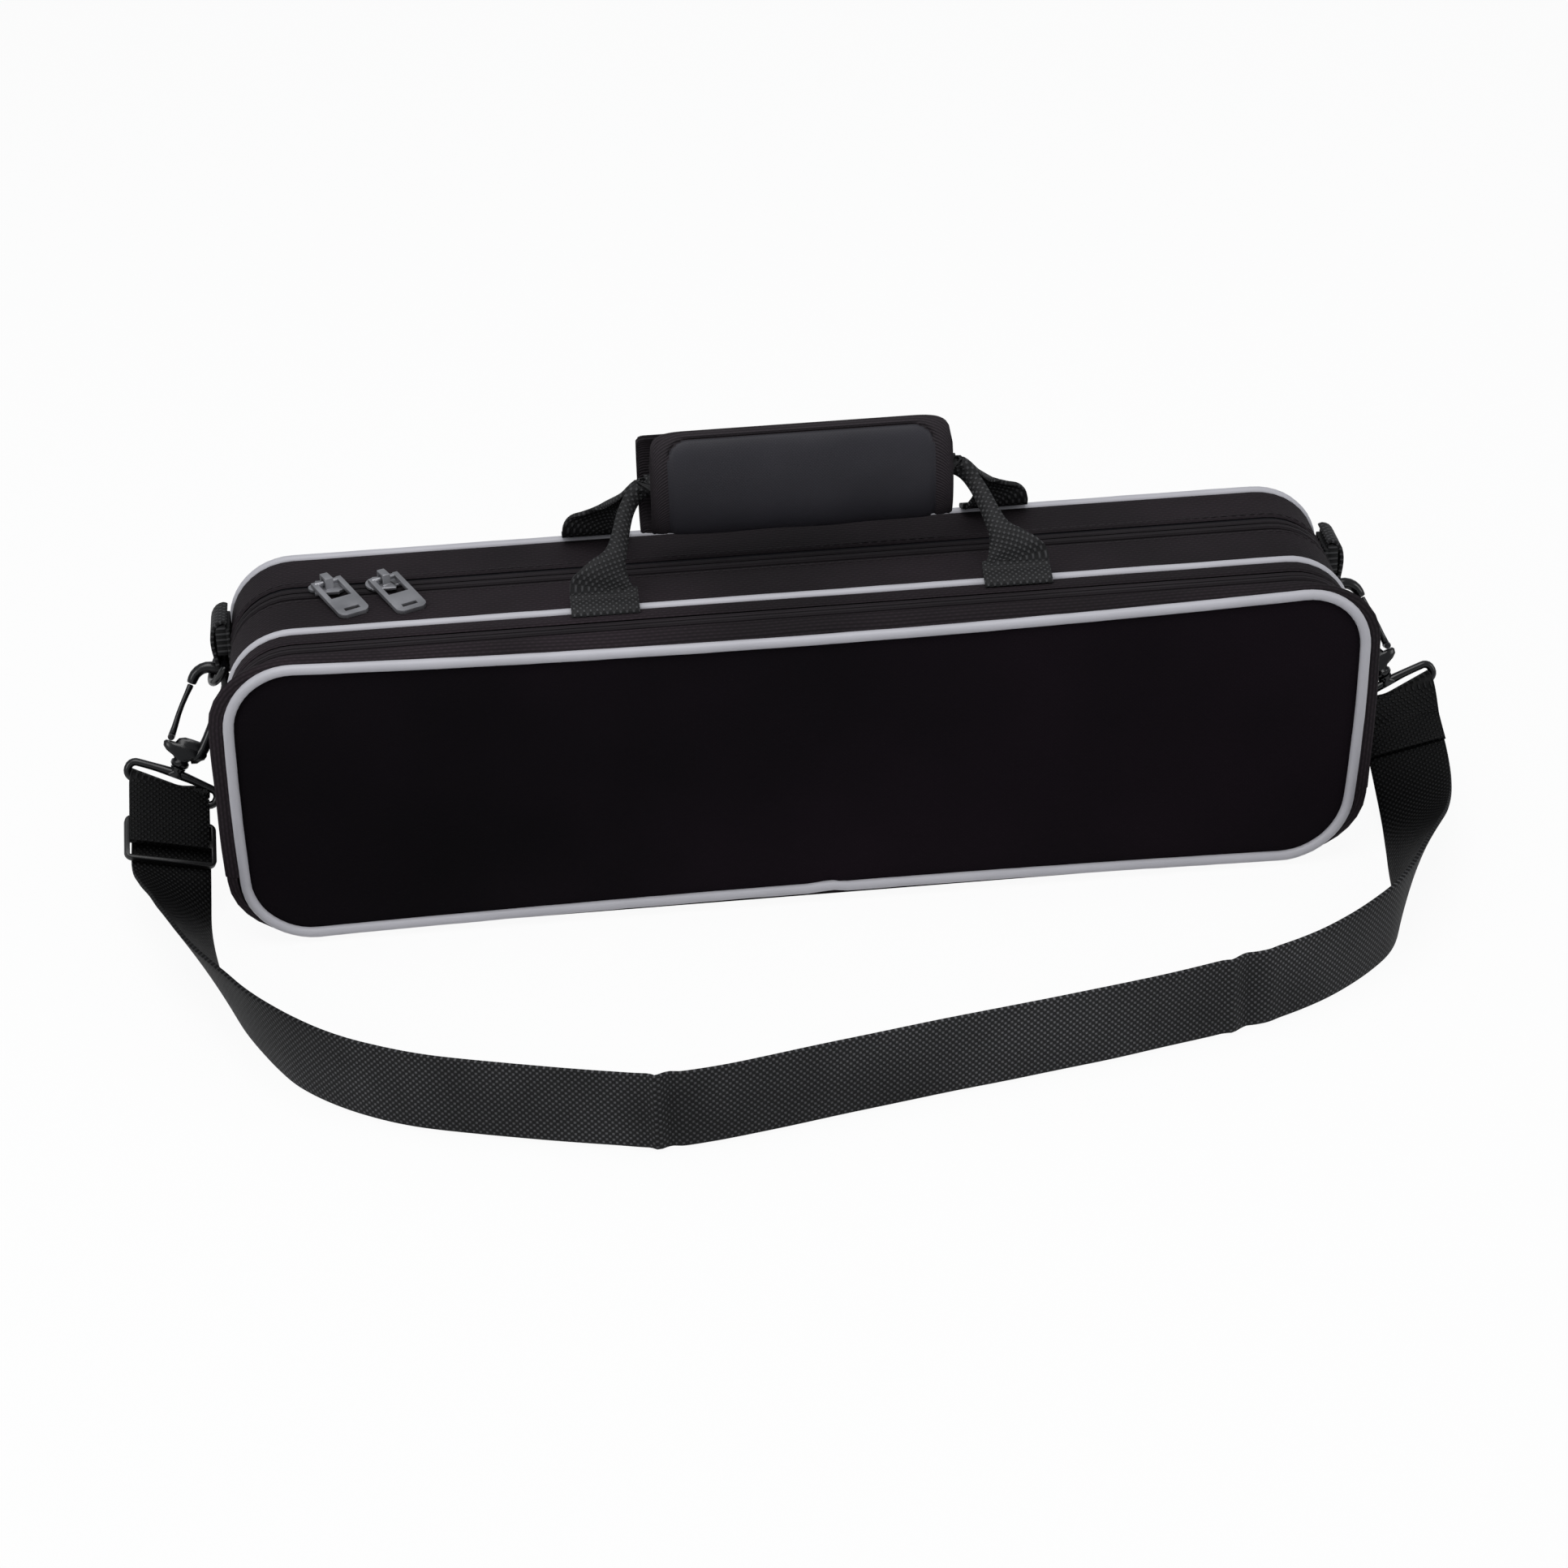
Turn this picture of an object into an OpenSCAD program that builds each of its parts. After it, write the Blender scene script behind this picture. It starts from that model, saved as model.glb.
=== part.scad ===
// Soft flute case, standing on its long narrow side.
// X runs along the case, -Y is the pocket side, Z is up, z = 0 is what it stands on.

/* [Case] */
// Length over the end walls
case_len = 416; // [380:1:460]
// Height over the walls, as it stands
case_h = 115; // [105:1:130]
// Depth of each half of the body, from the zip line outwards
half_depth = 31; // [28:0.5:36]
// Depth of the front pocket
pocket_depth = 28; // [26:0.5:36]
// Radius of the outline's corners
corner_r = 25; // [20:1:32]
// Thickness of the woven cover
cover_t = 1; // [0.6:0.1:1.4]
// Thickness of the foam board under the cover
board_t = 3.5; // [2.5:0.1:4.5]
// Thickness of the pocket's soft walls
gusset_t = 1.6; // [1:0.1:2.4]

/* [Piping] */
// Diameter of the piping
piping_d = 4; // [3:0.1:5]
// How far the piping stands proud of the top and ends
piping_proud = 1; // [0.4:0.1:1.5]
// Sag of the pocket's top edge at mid length
top_sag = 4.5; // [0:0.1:6]
// Rise of the pocket's bottom edge at mid length
bottom_arch = 2.5; // [0:0.1:4]
// Outward swell of the pocket's ends at mid height
end_swell = 1.5; // [0:0.1:3]
// Outward swell of the pocket's panel
panel_crown = 1.5; // [0:0.1:1.8]
// Thickness of the pocket's panel
panel_t = 2; // [1.2:0.1:2.4]

/* [Zips] */
// Width of the main zip's visible tape
main_tape_w = 11; // [10.6:0.1:13]
// Width of the pocket zip's visible tape
pocket_tape_w = 8; // [7.6:0.1:9]
// Thickness of the tapes
tape_t = 1; // [0.6:0.1:1.2]
// Width of one row of teeth
teeth_w = 2.4; // [2:0.1:2.8]
// Thickness of the teeth
teeth_t = 2.6; // [2:0.1:3]
// Gap between the two rows, where the slider's web runs
teeth_gap = 1.4; // [1.2:0.1:1.8]
// Height at which the main zip ends above the base
zip_end_z = 20; // [12:1:26]
// Length of a slider
slider_len = 14; // [12:0.5:16]
// Distance of the left main slider from the case's left end
left_slider_in = 38; // [34:1:43]
// Distance between the two main sliders
slider_pitch = 21; // [19:0.5:30]
// Height of the pocket slider
pocket_slider_z = 47; // [44:1:60]
// Length of a pull
pull_len = 25; // [22:0.5:26]
// Width of a pull
pull_w = 12; // [10:0.5:13]
// Thickness of a pull
pull_t = 1.6; // [1.2:0.1:2]
// Turn of the main pulls towards the right
pull_yaw = 25; // [0:1:30]

/* [Handle] */
// Middle of the handle along the case
handle_x = 7; // [-10:1:10]
// Distance between a handle's two sewn ends
handle_span = 152; // [140:1:180]
// Width of the handle webbing
handle_w = 25; // [20:1:28]
// Thickness of the webbing
webbing_t = 1.6; // [1.2:0.1:2]
// Length of the grip
grip_len = 112; // [95:1:120]
// Height of the grip
grip_h = 43; // [38:1:46]
// Depth of the grip, both leaves together
grip_depth = 20; // [18:0.5:24]
// Thickness of a grip leaf's padding
leaf_t = 4; // [3:0.1:5]
// How far the back leaf stands out to the left of the front one
back_leaf_left = 4; // [0:0.5:5]
// Height of the grip's middle above the top of the case
grip_rise = 34; // [32:1:44]

/* [Strap hardware] */
// Width of the shoulder strap
strap_w = 30; // [25:1:32]
// Height of the ring's bar
ring_z = 82; // [76:1:88]
// Radius of the ring's bow
ring_r = 11; // [10:0.5:13]
// Wire diameter of the ring
ring_wire = 3; // [2.4:0.1:3.4]
// Outward swing of the ring at rest
ring_swing = 33; // [30:1:36]
// Outward lean of the hook
hook_out = 25; // [23:1:27]
// Forward lean of the hook
hook_lean = 22; // [15:1:24]
// Thickness of the hook's bar
hook_wire = 4; // [3.4:0.1:4.4]
// Inside radius of the hook's top
hook_inner = 4.5; // [4.2:0.1:5]
// Length of the hook from the ring to the webbing bar
hook_len = 46; // [44:0.5:50]

/* [Insert] */
// Height of the long channel's middle
body_channel_z = 36; // [34:1:40]
// Height of the short channels' middle
head_channel_z = 79; // [77:1:84]
// Radius of the long channel
body_channel_r = 16; // [14:0.5:17]
// Length of the long channel
body_channel_len = 350; // [330:1:360]
// Radius of the head joint's channel
head_channel_r = 13; // [12:0.5:15]
// Length of the head joint's channel
head_channel_len = 230; // [220:1:240]
// Length of the foot joint's channel
foot_channel_len = 125; // [110:1:130]
// Thickness of the lid's padding
lid_pad_t = 10; // [6:1:12]

/* [Hidden] */

// running gap between pieces that move on each other
gap = 0.3;
// finer gap between pieces sewn or pressed together
seat = 0.05;
$fn = 64;

total_depth = 2 * half_depth + pocket_depth;
y_back = total_depth / 2;
y_front = -y_back;
zip_y = y_back - half_depth;
piping_r = piping_d / 2;
// middle piping, between the body and the pocket
y_mid = zip_y - half_depth;
board_in = cover_t + board_t;
// edges of the walls along the main zip
back_edge_y = zip_y + main_tape_w / 2;
lid_edge_y = zip_y - main_tape_w / 2;
// corner of the outline that the piping takes
back_corner_y = y_back - piping_d;
lid_corner_y = y_mid + piping_r;
back_panel_y = y_back - 1;
// middle of the pocket's zip
front_corner_y = y_front + piping_d;
pocket_zip_y = (y_mid - piping_r + front_corner_y) / 2;
pocket_edge_back = pocket_zip_y + pocket_tape_w / 2;
pocket_edge_front = pocket_zip_y - pocket_tape_w / 2;
// the flap's side walls start above the bottom corners
flap_z = corner_r + 2;

black = [0.05, 0.05, 0.06];
charcoal = [0.13, 0.13, 0.14];
light_grey = [0.72, 0.72, 0.75];
gunmetal = [0.2, 0.2, 0.22];
plush = [0.12, 0.12, 0.2];

function unit(v) = v / norm(v);
function mix(a, b, t) = a + (b - a) * t;

// ---- outlines in the X-Z plane -------------------------------------------

module rounded(w, h, r) {
    square([w - 2 * r, h], center = true);
    square([w, h - 2 * r], center = true);
    for (sx = [-1, 1], sz = [-1, 1])
        translate([sx * (w / 2 - r), sz * (h / 2 - r)]) circle(r);
}

// the walls' outline, drawn in by inset
module outline(inset) {
    translate([0, case_h / 2])
        rounded(case_len - 2 * inset, case_h - 2 * inset, corner_r - inset);
}

// a solid between two planes of y
module slab(y0, y1) {
    translate([0, y1, 0]) rotate([90, 0, 0]) linear_extrude(y1 - y0) children();
}

// the flat panels' outline, just inside the piping
module panel_outline() {
    edge_in = piping_d + 2 * seat;
    translate([0, loop_z]) rounded(loop_w - edge_in, loop_h - edge_in, loop_r - edge_in / 2);
}

module wall_ring(y0, y1, inset0, inset1) {
    slab(y0, y1) difference() {
        outline(inset0);
        outline(inset1);
    }
}

// what lies above or below a height
module above(z) {
    intersection() {
        children();
        translate([-case_len, -total_depth, z]) cube([2 * case_len, 2 * total_depth, 2 * case_h]);
    }
}

module below(z) {
    intersection() {
        children();
        translate([-case_len, -total_depth, z - case_h]) cube([2 * case_len, 2 * total_depth, case_h]);
    }
}

// ---- swept solids ---------------------------------------------------------

// rings run anticlockwise seen from the end they run towards
module swept(rings, closed = false) {
    n = len(rings[0]);
    m = len(rings);
    last = closed ? m - 1 : m - 2;
    sides = [for (i = [0:last], j = [0:n - 1])
        let (i2 = (i + 1) % m, j2 = (j + 1) % n, a = i * n + j, b = i2 * n + j, c = i2 * n + j2, d = i * n + j2)
        each [[a, b, c], [a, c, d]]];
    caps = closed ? [] : [[for (j = [0:n - 1]) j], [for (j = [n - 1:-1:0]) (m - 1) * n + j]];
    polyhedron([for (r = rings) each r], concat(sides, caps), convexity = 6);
}

// a flat band: at each point its middle, its width's direction and width, and its thickness
function band_ring(p, along, across, w, t) =
    let (flat = unit(cross(along, across)), a = across * w / 2, b = flat * t / 2)
    [p - a - b, p + a - b, p + a + b, p - a + b];

// ---- the pocket's pinched outline ------------------------------------------

loop_w = case_len + 2 * piping_proud - piping_d;
loop_h = case_h + piping_proud - piping_d;
loop_r = corner_r + piping_proud - piping_r;
loop_z = piping_r + loop_h / 2;

// the soft edge sags between the top and bottom corners and swells out at the ends
function pinch(x, z, k = 1) =
    let (u = x / (loop_w / 2), w = (z - loop_z) / (loop_h / 2),
         lift = w > 0 ? -top_sag * w : -bottom_arch * w)
    [x + k * end_swell * u * max(0, 1 - w * w), z + k * lift * max(0, 1 - u * u)];

function arc(cx, cz, r, a0, a1, n) = [for (i = [0:n]) let (a = mix(a0, a1, i / n)) [cx + r * cos(a), cz + r * sin(a)]];
function edge(p, q, n) = [for (i = [1:n - 1]) mix(p, q, i / n)];

// a rounded rectangle's points, from the left end of the base, anticlockwise
function loop_points(w, z0, z1, r, n_long, n_corner, n_short) =
    let (a = w / 2 - r, b = w / 2)
    concat(
        arc(a, z0 + r, r, -90, 0, n_corner), edge([b, z0 + r], [b, z1 - r], n_short),
        arc(a, z1 - r, r, 0, 90, n_corner), edge([a, z1], [-a, z1], n_long),
        arc(-a, z1 - r, r, 90, 180, n_corner), edge([-b, z1 - r], [-b, z0 + r], n_short),
        arc(-a, z0 + r, r, 180, 270, n_corner), edge([-a, z0], [a, z0], n_long));

// the part of the walls' outline above the bottom corners, from right to left over the top
function arch_points(inset, n_long, n_corner, n_short) =
    let (b = case_len / 2 - inset, r = corner_r - inset, a = b - r, z1 = case_h - inset)
    concat(
        [[b, flap_z]], edge([b, flap_z], [b, z1 - r], n_short),
        arc(a, z1 - r, r, 0, 90, n_corner), edge([a, z1], [-a, z1], n_long),
        arc(-a, z1 - r, r, 90, 180, n_corner), edge([-b, z1 - r], [-b, flap_z], n_short), [[-b, flap_z]]);

// ---- piping ----------------------------------------------------------------

module piping_loop(y) {
    a = loop_w / 2 - loop_r;
    b = loop_h / 2 - loop_r;
    translate([0, y, loop_z]) {
        for (s = [-1, 1]) {
            translate([-a, 0, s * loop_h / 2]) rotate([0, 90, 0]) cylinder(2 * a, r = piping_r);
            translate([s * loop_w / 2, 0, -b]) cylinder(2 * b, r = piping_r);
        }
        for (q = [[1, 1, 0], [-1, 1, 90], [-1, -1, 180], [1, -1, 270]])
            translate([q[0] * a, 0, q[1] * b]) rotate([90, -q[2], 0])
                rotate_extrude(angle = 90) translate([loop_r, 0]) circle(piping_r);
    }
}

module back_piping() color(light_grey) piping_loop(y_back - piping_r);
module middle_piping() color(light_grey) piping_loop(y_mid);

module front_piping() {
    path = [for (q = loop_points(loop_w, piping_r, piping_r + loop_h, loop_r, 22, 6, 5)) pinch(q[0], q[1])];
    m = len(path);
    color(light_grey) swept([for (i = [0:m - 1])
        let (before = path[(i + m - 1) % m], after = path[(i + 1) % m],
             d = unit(after - before), outward = [d[1], -d[0]])
        [for (k = [0:7]) let (c = piping_r * cos(-45 * k), s = piping_r * sin(-45 * k))
            [path[i][0] + outward[0] * c, y_front + piping_r + s, path[i][1] + outward[1] * c]]], closed = true);
}

// ---- back half ---------------------------------------------------------------

module back_cover() color(black) {
    wall_ring(back_edge_y, back_corner_y, 0, cover_t);
    slab(back_panel_y - cover_t, back_panel_y) panel_outline();
}

module back_board() color(charcoal) {
    wall_ring(back_edge_y, back_corner_y, cover_t, board_in);
    slab(back_panel_y - board_in, back_panel_y - cover_t) panel_outline();
}

insert_face_y = zip_y + 2;
insert_back_y = back_panel_y - board_in - gap;
insert_in = board_in + 1;

module channel(x, z, r, length) {
    translate([x - length / 2, insert_face_y, z]) rotate([0, 90, 0]) cylinder(length, r = r);
}

insert_half = case_len / 2 - insert_in;
channel_wall = 8;

module insert_foam() color(plush) difference() {
    slab(insert_face_y, insert_back_y) outline(insert_in);
    channel(0, body_channel_z, body_channel_r, body_channel_len);
    channel(-insert_half + channel_wall + head_channel_len / 2, head_channel_z, head_channel_r,
            head_channel_len);
    channel(insert_half - channel_wall - foot_channel_len / 2, head_channel_z, head_channel_r,
            foot_channel_len);
    // finger wells that join the two rows
    for (x = [-90, 90])
        translate([x, insert_face_y, 0]) rotate([-90, 0, 0])
            translate([0, -(body_channel_z + head_channel_z) / 2, -1]) cylinder(11, r = 14);
}

// the tapes lie with their middle one thickness below the wall's face
module zip_tape(y0, y1, z) color(charcoal) above(z) wall_ring(y0, y1, tape_t / 2, tape_t * 1.5);
module zip_teeth(y0, y1, z) color(gunmetal) above(z) wall_ring(y0, y1, tape_t - teeth_t / 2, tape_t + teeth_t / 2);

teeth_in = teeth_gap / 2;
teeth_out = teeth_in + teeth_w;

module back_zip_tape() zip_tape(zip_y + teeth_out, back_edge_y, zip_end_z);
module back_zip_teeth() zip_teeth(zip_y + teeth_in, zip_y + teeth_out, zip_end_z);

module hinge_strip() color(black)
    below(zip_end_z) wall_ring(lid_edge_y + gap, back_edge_y, 0, cover_t);

// ---- lid half ------------------------------------------------------------------

module front_cover() color(black) wall_ring(lid_corner_y, lid_edge_y, 0, cover_t);

lid_panel_y = y_mid - piping_r + 0.5;

module front_board() color(charcoal) {
    wall_ring(lid_corner_y, lid_edge_y, cover_t, board_in);
    slab(lid_panel_y, lid_panel_y + board_in) panel_outline();
}

module lid_pad() color(plush)
    slab(lid_panel_y + board_in + seat, lid_panel_y + board_in + lid_pad_t) outline(insert_in);

module front_zip_tape() zip_tape(lid_edge_y, zip_y - teeth_out, zip_end_z + gap);
module front_zip_teeth() zip_teeth(zip_y - teeth_out, zip_y - teeth_in, zip_end_z + gap);

// ---- pocket --------------------------------------------------------------------

module pocket_gusset_back() color(black)
    wall_ring(pocket_edge_back, y_mid - piping_r, 0, gusset_t);

module pocket_sill() color(black)
    below(flap_z - gap) wall_ring(front_corner_y + 2 * gap, pocket_edge_back, 0, gusset_t);

module pocket_zip_back() color(charcoal)
    above(flap_z) wall_ring(pocket_zip_y + teeth_in, pocket_edge_back, 0, tape_t);

// front wall of the pocket's gusset: straight along the zip, pinched along the piping
module pocket_gusset_front() {
    outer = arch_points(0, 20, 6, 4);
    inner = arch_points(gusset_t, 20, 6, 4);
    rings = [for (i = [0:len(outer) - 1])
        let (o = outer[i], q = inner[i], po = pinch(o[0], o[1]), pq = pinch(q[0], q[1]))
        [[po[0], front_corner_y, po[1]], [pq[0], front_corner_y, pq[1]],
         [q[0], pocket_edge_front, q[1]], [o[0], pocket_edge_front, o[1]]]];
    color(black) swept(rings);
}

module pocket_zip_front() color(charcoal)
    above(flap_z) wall_ring(pocket_edge_front, pocket_zip_y - teeth_in, 0, tape_t);

// the panel, crowned between its edges
module pocket_panel() {
    inset = piping_r + seat;
    rows = [0, 0.35, 0.65, 0.85, 0.95, 1];
    rim = loop_points(loop_w - 2 * inset, piping_r + inset, piping_r + loop_h - inset, loop_r - inset, 22, 6, 5);
    m = len(rim);
    edge_y = y_front + 1.2 + panel_crown * 0.2;
    function at(k, i, lift) =
        let (x = rim[i][0] * rows[k], z = loop_z + (rim[i][1] - loop_z) * rows[k], p = pinch(x, z),
             swell = panel_crown * (1 - rows[k] * rows[k]))
        [p[0], edge_y - swell * 0.9 + lift, p[1]];
    front = [for (k = [1:len(rows) - 1], i = [0:m - 1]) at(k, i, 0)];
    back = [for (k = [1:len(rows) - 1], i = [0:m - 1]) at(k, i, panel_t)];
    n = len(front);
    rings = len(rows) - 1;
    faces = concat(
        [for (k = [0:rings - 2], i = [0:m - 1]) let (j = (i + 1) % m)
            [k * m + i, (k + 1) * m + i, (k + 1) * m + j, k * m + j]],
        [for (k = [0:rings - 2], i = [0:m - 1]) let (j = (i + 1) % m)
            [n + k * m + i, n + k * m + j, n + (k + 1) * m + j, n + (k + 1) * m + i]],
        [for (i = [0:m - 1]) let (j = (i + 1) % m)
            [(rings - 1) * m + i, n + (rings - 1) * m + i, n + (rings - 1) * m + j, (rings - 1) * m + j]],
        [for (i = [0:m - 1]) [2 * n, i, (i + 1) % m]],
        [for (i = [0:m - 1]) [2 * n + 1, n + (i + 1) % m, n + i]]);
    color(black) polyhedron(concat(front, back, [at(0, 0, 0)], [at(0, 0, panel_t)]), faces, convexity = 6);
}

// ---- sliders and pulls -----------------------------------------------------------

tape_z = case_h - tape_t;
plate_t = 1.2;
slider_w = main_tape_w - 1;
// distance of a slider's plates from the middle of what they run on
main_run = teeth_t / 2 + gap;
pocket_run = tape_t / 2 + gap;
bar_d = 2;
bar_gap = 0.5;
bridge_t = 1.2;
bridge_w = 3;

// a slider on a zip along X whose tape's middle is at the origin, Z outwards.
// run is its plates' distance, nose the end that leads, turn that of the bridge
module slider(w, run, nose, turn) color(gunmetal) {
    for (s = [-1, 1])
        translate([0, 0, s * (run + plate_t / 2)]) linear_extrude(plate_t, center = true) {
            square([slider_len - w / 2, w], center = true);
            translate([-nose * (slider_len / 2 - w / 4), 0]) circle(d = w / 2);
            translate([nose * (slider_len / 2 - w / 2), 0]) circle(d = w);
        }
    cube([4, teeth_gap - 2 * gap, 2 * run + plate_t], center = true);
    // bridge over the pull's bar
    rotate([0, 0, turn]) translate([0, 0, run + plate_t]) {
        for (s = [-1, 1])
            translate([-bridge_w / 2, s * (bridge_len - bridge_t) / 2 - bridge_t / 2, -seat])
                cube([bridge_w, bridge_t, bar_d + 2 * bar_gap + seat]);
        translate([-bridge_w / 2, -bridge_len / 2, bar_d + 2 * bar_gap]) cube([bridge_w, bridge_len, bridge_t]);
    }
}

bridge_len = bar_d + 2 * bar_gap + 2 * bridge_t;

// a pull with its bar along X at the origin, lying towards -Y
module pull(length) color(gunmetal) {
    rotate([0, 90, 0]) cylinder(pull_w - 2, d = bar_d, center = true);
    translate([0, 0, -pull_t / 2]) linear_extrude(pull_t) difference() {
        union() {
            translate([-pull_w / 2, -length + 3]) square([pull_w, length - 3 + bar_d / 2]);
            translate([-pull_w / 2 + 2, -length]) square([pull_w - 4, 4]);
            for (s = [-1, 1]) translate([s * (pull_w / 2 - 3), -length + 3]) circle(3);
        }
        // window round the bridge
        translate([-pull_w / 2 + 2, -length * 0.5]) square([pull_w - 4, length * 0.5 - bar_d / 2 + 0.1]);
        translate([-pull_w / 2, -bar_d / 2]) square([pull_w, bar_d + 1]);
        translate([-pull_w / 4, -length + 2.6]) square([pull_w / 2, 2]);
    }
    for (s = [-1, 1])
        translate([s * (pull_w / 2 - 1) - 1, -bar_d / 2 - 0.1, -pull_t / 2]) cube([2, bar_d + 0.1, pull_t]);
}

// height of a pull's bar over the middle of the tape
main_bar = main_run + plate_t + bar_gap + bar_d / 2;
pocket_bar = pocket_run + plate_t + bar_gap + bar_d / 2;
pull_tilt = asin((main_bar - tape_t / 2 - pull_t / 2 - 2 * gap) / pull_len);

module main_slider(x, nose) translate([x, zip_y, tape_z]) slider(slider_w, main_run, nose, pull_yaw);
module main_pull(x) translate([x, zip_y, tape_z + main_bar])
    rotate([0, 0, pull_yaw]) rotate([pull_tilt, 0, 0]) pull(pull_len);

left_slider_x = left_slider_in - case_len / 2;

module slider_left() main_slider(left_slider_x, 1);
module slider_right() main_slider(left_slider_x + slider_pitch, -1);
module pull_left() main_pull(left_slider_x);
module pull_right() main_pull(left_slider_x + slider_pitch);

// the pocket's slider stands on the left end, its pull hanging down
module on_pocket_zip() translate([-(case_len - tape_t) / 2, pocket_zip_y, pocket_slider_z])
    rotate([0, -90, 0]) children();

module pocket_slider() on_pocket_zip() slider(pocket_tape_w - 1, pocket_run, 1, 90);
module pocket_pull() on_pocket_zip() translate([0, 0, pocket_bar]) rotate([0, 0, -90]) pull(pull_len - 3);

// ---- handles ----------------------------------------------------------------------

tab_depth = 8;
front_tab_y = y_mid - 5.5;
back_tab_y = y_back - tab_depth - 0.2;
tab_top = case_h + piping_proud + webbing_t;
handle_z = tab_top + 0.2;
grip_z = case_h + grip_rise;

module handle_tabs(y0) color(charcoal) difference() {
    for (s = [-1, 1])
        translate([handle_x + s * handle_span / 2 - handle_w / 2, y0, case_h + seat])
            cube([handle_w, tab_depth, tab_top - case_h - seat]);
    children();
}

module front_handle_tabs() handle_tabs(front_tab_y)
    translate([0, y_mid, loop_z + loop_h / 2]) rotate([0, 90, 0])
        cylinder(case_len, r = piping_r + seat, center = true);

module back_handle_tabs() handle_tabs(back_tab_y)
    translate([0, y_back - piping_r, loop_z + loop_h / 2]) rotate([0, 90, 0])
        cylinder(case_len, r = piping_r + seat, center = true);

// one webbing loop: from a sewn end up through the grip to the other sewn end.
// root_y is where it leaves its tab, core_y where it runs inside the grip
function handle_leg(root_y, core_y) =
    let (x0 = handle_span / 2, x1 = grip_len / 2, rise = grip_z - handle_z)
    [ // along, depth, height, width across, share of turn from flat to upright
        [x0, root_y, handle_z + 0.1, handle_w, 0],
        [x0, root_y, handle_z + 3.6, handle_w, 0],
        [x0 - 2, mix(root_y, core_y, 0.05), handle_z + 0.3 * rise, 18.5, 0.1],
        [x0 - 6.5, mix(root_y, core_y, 0.26), handle_z + 0.52 * rise, 12, 0.25],
        [x0 - 12, mix(root_y, core_y, 0.92), handle_z + 0.78 * rise, 10, 0.6],
        [x1 + 2, core_y, handle_z + 0.97 * rise, 11, 0.95],
        [x1 - 10, core_y, grip_z, 11, 1]];

function handle_path(root_y, core_y) =
    let (leg = handle_leg(root_y, core_y), n = len(leg))
    concat([for (i = [0:n - 1]) [-leg[i][0], leg[i][1], leg[i][2], leg[i][3], leg[i][4]]],
           [for (i = [n - 1:-1:0]) [leg[i][0], leg[i][1], leg[i][2], leg[i][3], leg[i][4]]]);

module handle_webbing(root_y, core_y) {
    path = handle_path(root_y, core_y);
    m = len(path);
    color(charcoal) translate([handle_x, 0, 0]) swept([for (i = [0:m - 1])
        let (p = [path[i][0], path[i][1], path[i][2]],
             a = path[max(i - 1, 0)], b = path[min(i + 1, m - 1)],
             along = unit([b[0] - a[0], b[1] - a[1], b[2] - a[2]]),
             turn = 90 * path[i][4],
             side = i < m / 2 ? 1 : -1,
             across0 = [cos(turn) * side, 0, -sin(turn)],
             across = unit(across0 - along * (across0 * along)),
             w = path[i][3], t = mix(webbing_t, 3.2, min(1, 2 * (handle_w - w) / handle_w)))
        i == 0 ? band_ring(p, [0, 0, 1], [1, 0, 0], w, webbing_t)
        : i == m - 1 ? band_ring(p, [0, 0, -1], [-1, 0, 0], w, webbing_t)
        : band_ring(p, along, across, w, t)]);
}

front_root_y = front_tab_y + tab_depth + 1.1;
back_root_y = back_tab_y - 1.1;
core_off = 2.6;

module front_handle_webbing() handle_webbing(front_root_y, zip_y - core_off);
module back_handle_webbing() handle_webbing(back_root_y, zip_y + core_off);

// part of an oval tube along X, open towards the zip's plane, from its lowest point up to an angle
module leaf_section(side, top) {
    a = grip_depth / 2;
    b = grip_h / 2;
    function half(a, b) = [for (i = [0:20]) let (t = mix(-90, top, i / 20)) [side * (a * cos(t)) , b * sin(t)]];
    outer = half(a, b);
    inner = half(a - leaf_t, b - leaf_t);
    translate([side * gap / 2, 0]) polygon(concat(outer, [for (i = [20:-1:0]) inner[i]]));
}

module leaf(side, round_r, top) color(black) intersection() {
    translate([handle_x - grip_len / 2, zip_y, grip_z]) rotate([90, 0, 90])
        linear_extrude(grip_len) leaf_section(side, top);
    translate([handle_x, zip_y + grip_depth, grip_z]) rotate([90, 0, 0]) linear_extrude(2 * grip_depth)
        union() {
            translate([0, -round_r]) square([grip_len, grip_h], center = true);
            square([grip_len - 2 * round_r, grip_h + 2], center = true);
            for (s = [-1, 1]) translate([s * (grip_len / 2 - round_r), grip_h / 2 - round_r]) circle(round_r);
        }
}

leaf_corner_r = 12;

// the front leaf wraps over the top and the back one ends below it
module grip_front_leaf() leaf(-1, leaf_corner_r, 106);
module grip_back_leaf() translate([-back_leaf_left, 0, 0]) leaf(1, 2, 68);

// hook and loop strips inside the leaves' upper halves
module grip_strip(side) color(charcoal)
    translate([handle_x - grip_len / 2 + leaf_corner_r + 4,
               zip_y + (side < 0 ? -gap / 2 - 2.2 : gap / 2 + 0.2), grip_z + grip_h / 2 - leaf_t - 6.5])
        cube([grip_len - 2 * leaf_corner_r - 8, 2, 5]);

module grip_hook_strip() grip_strip(-1);
module grip_loop_strip() grip_strip(1);

// ---- rings and hooks at the ends (drawn for the right end) --------------------------

ring_y = zip_y + half_depth / 2 + 1.5;
tab_w = 2 * ring_r - 2 * ring_wire;
bar_x = case_len / 2 + ring_wire / 2 + webbing_t + gap;
bow_x = bar_x + ring_r * sin(ring_swing);
bow_z = ring_z - ring_r * cos(ring_swing);

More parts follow.
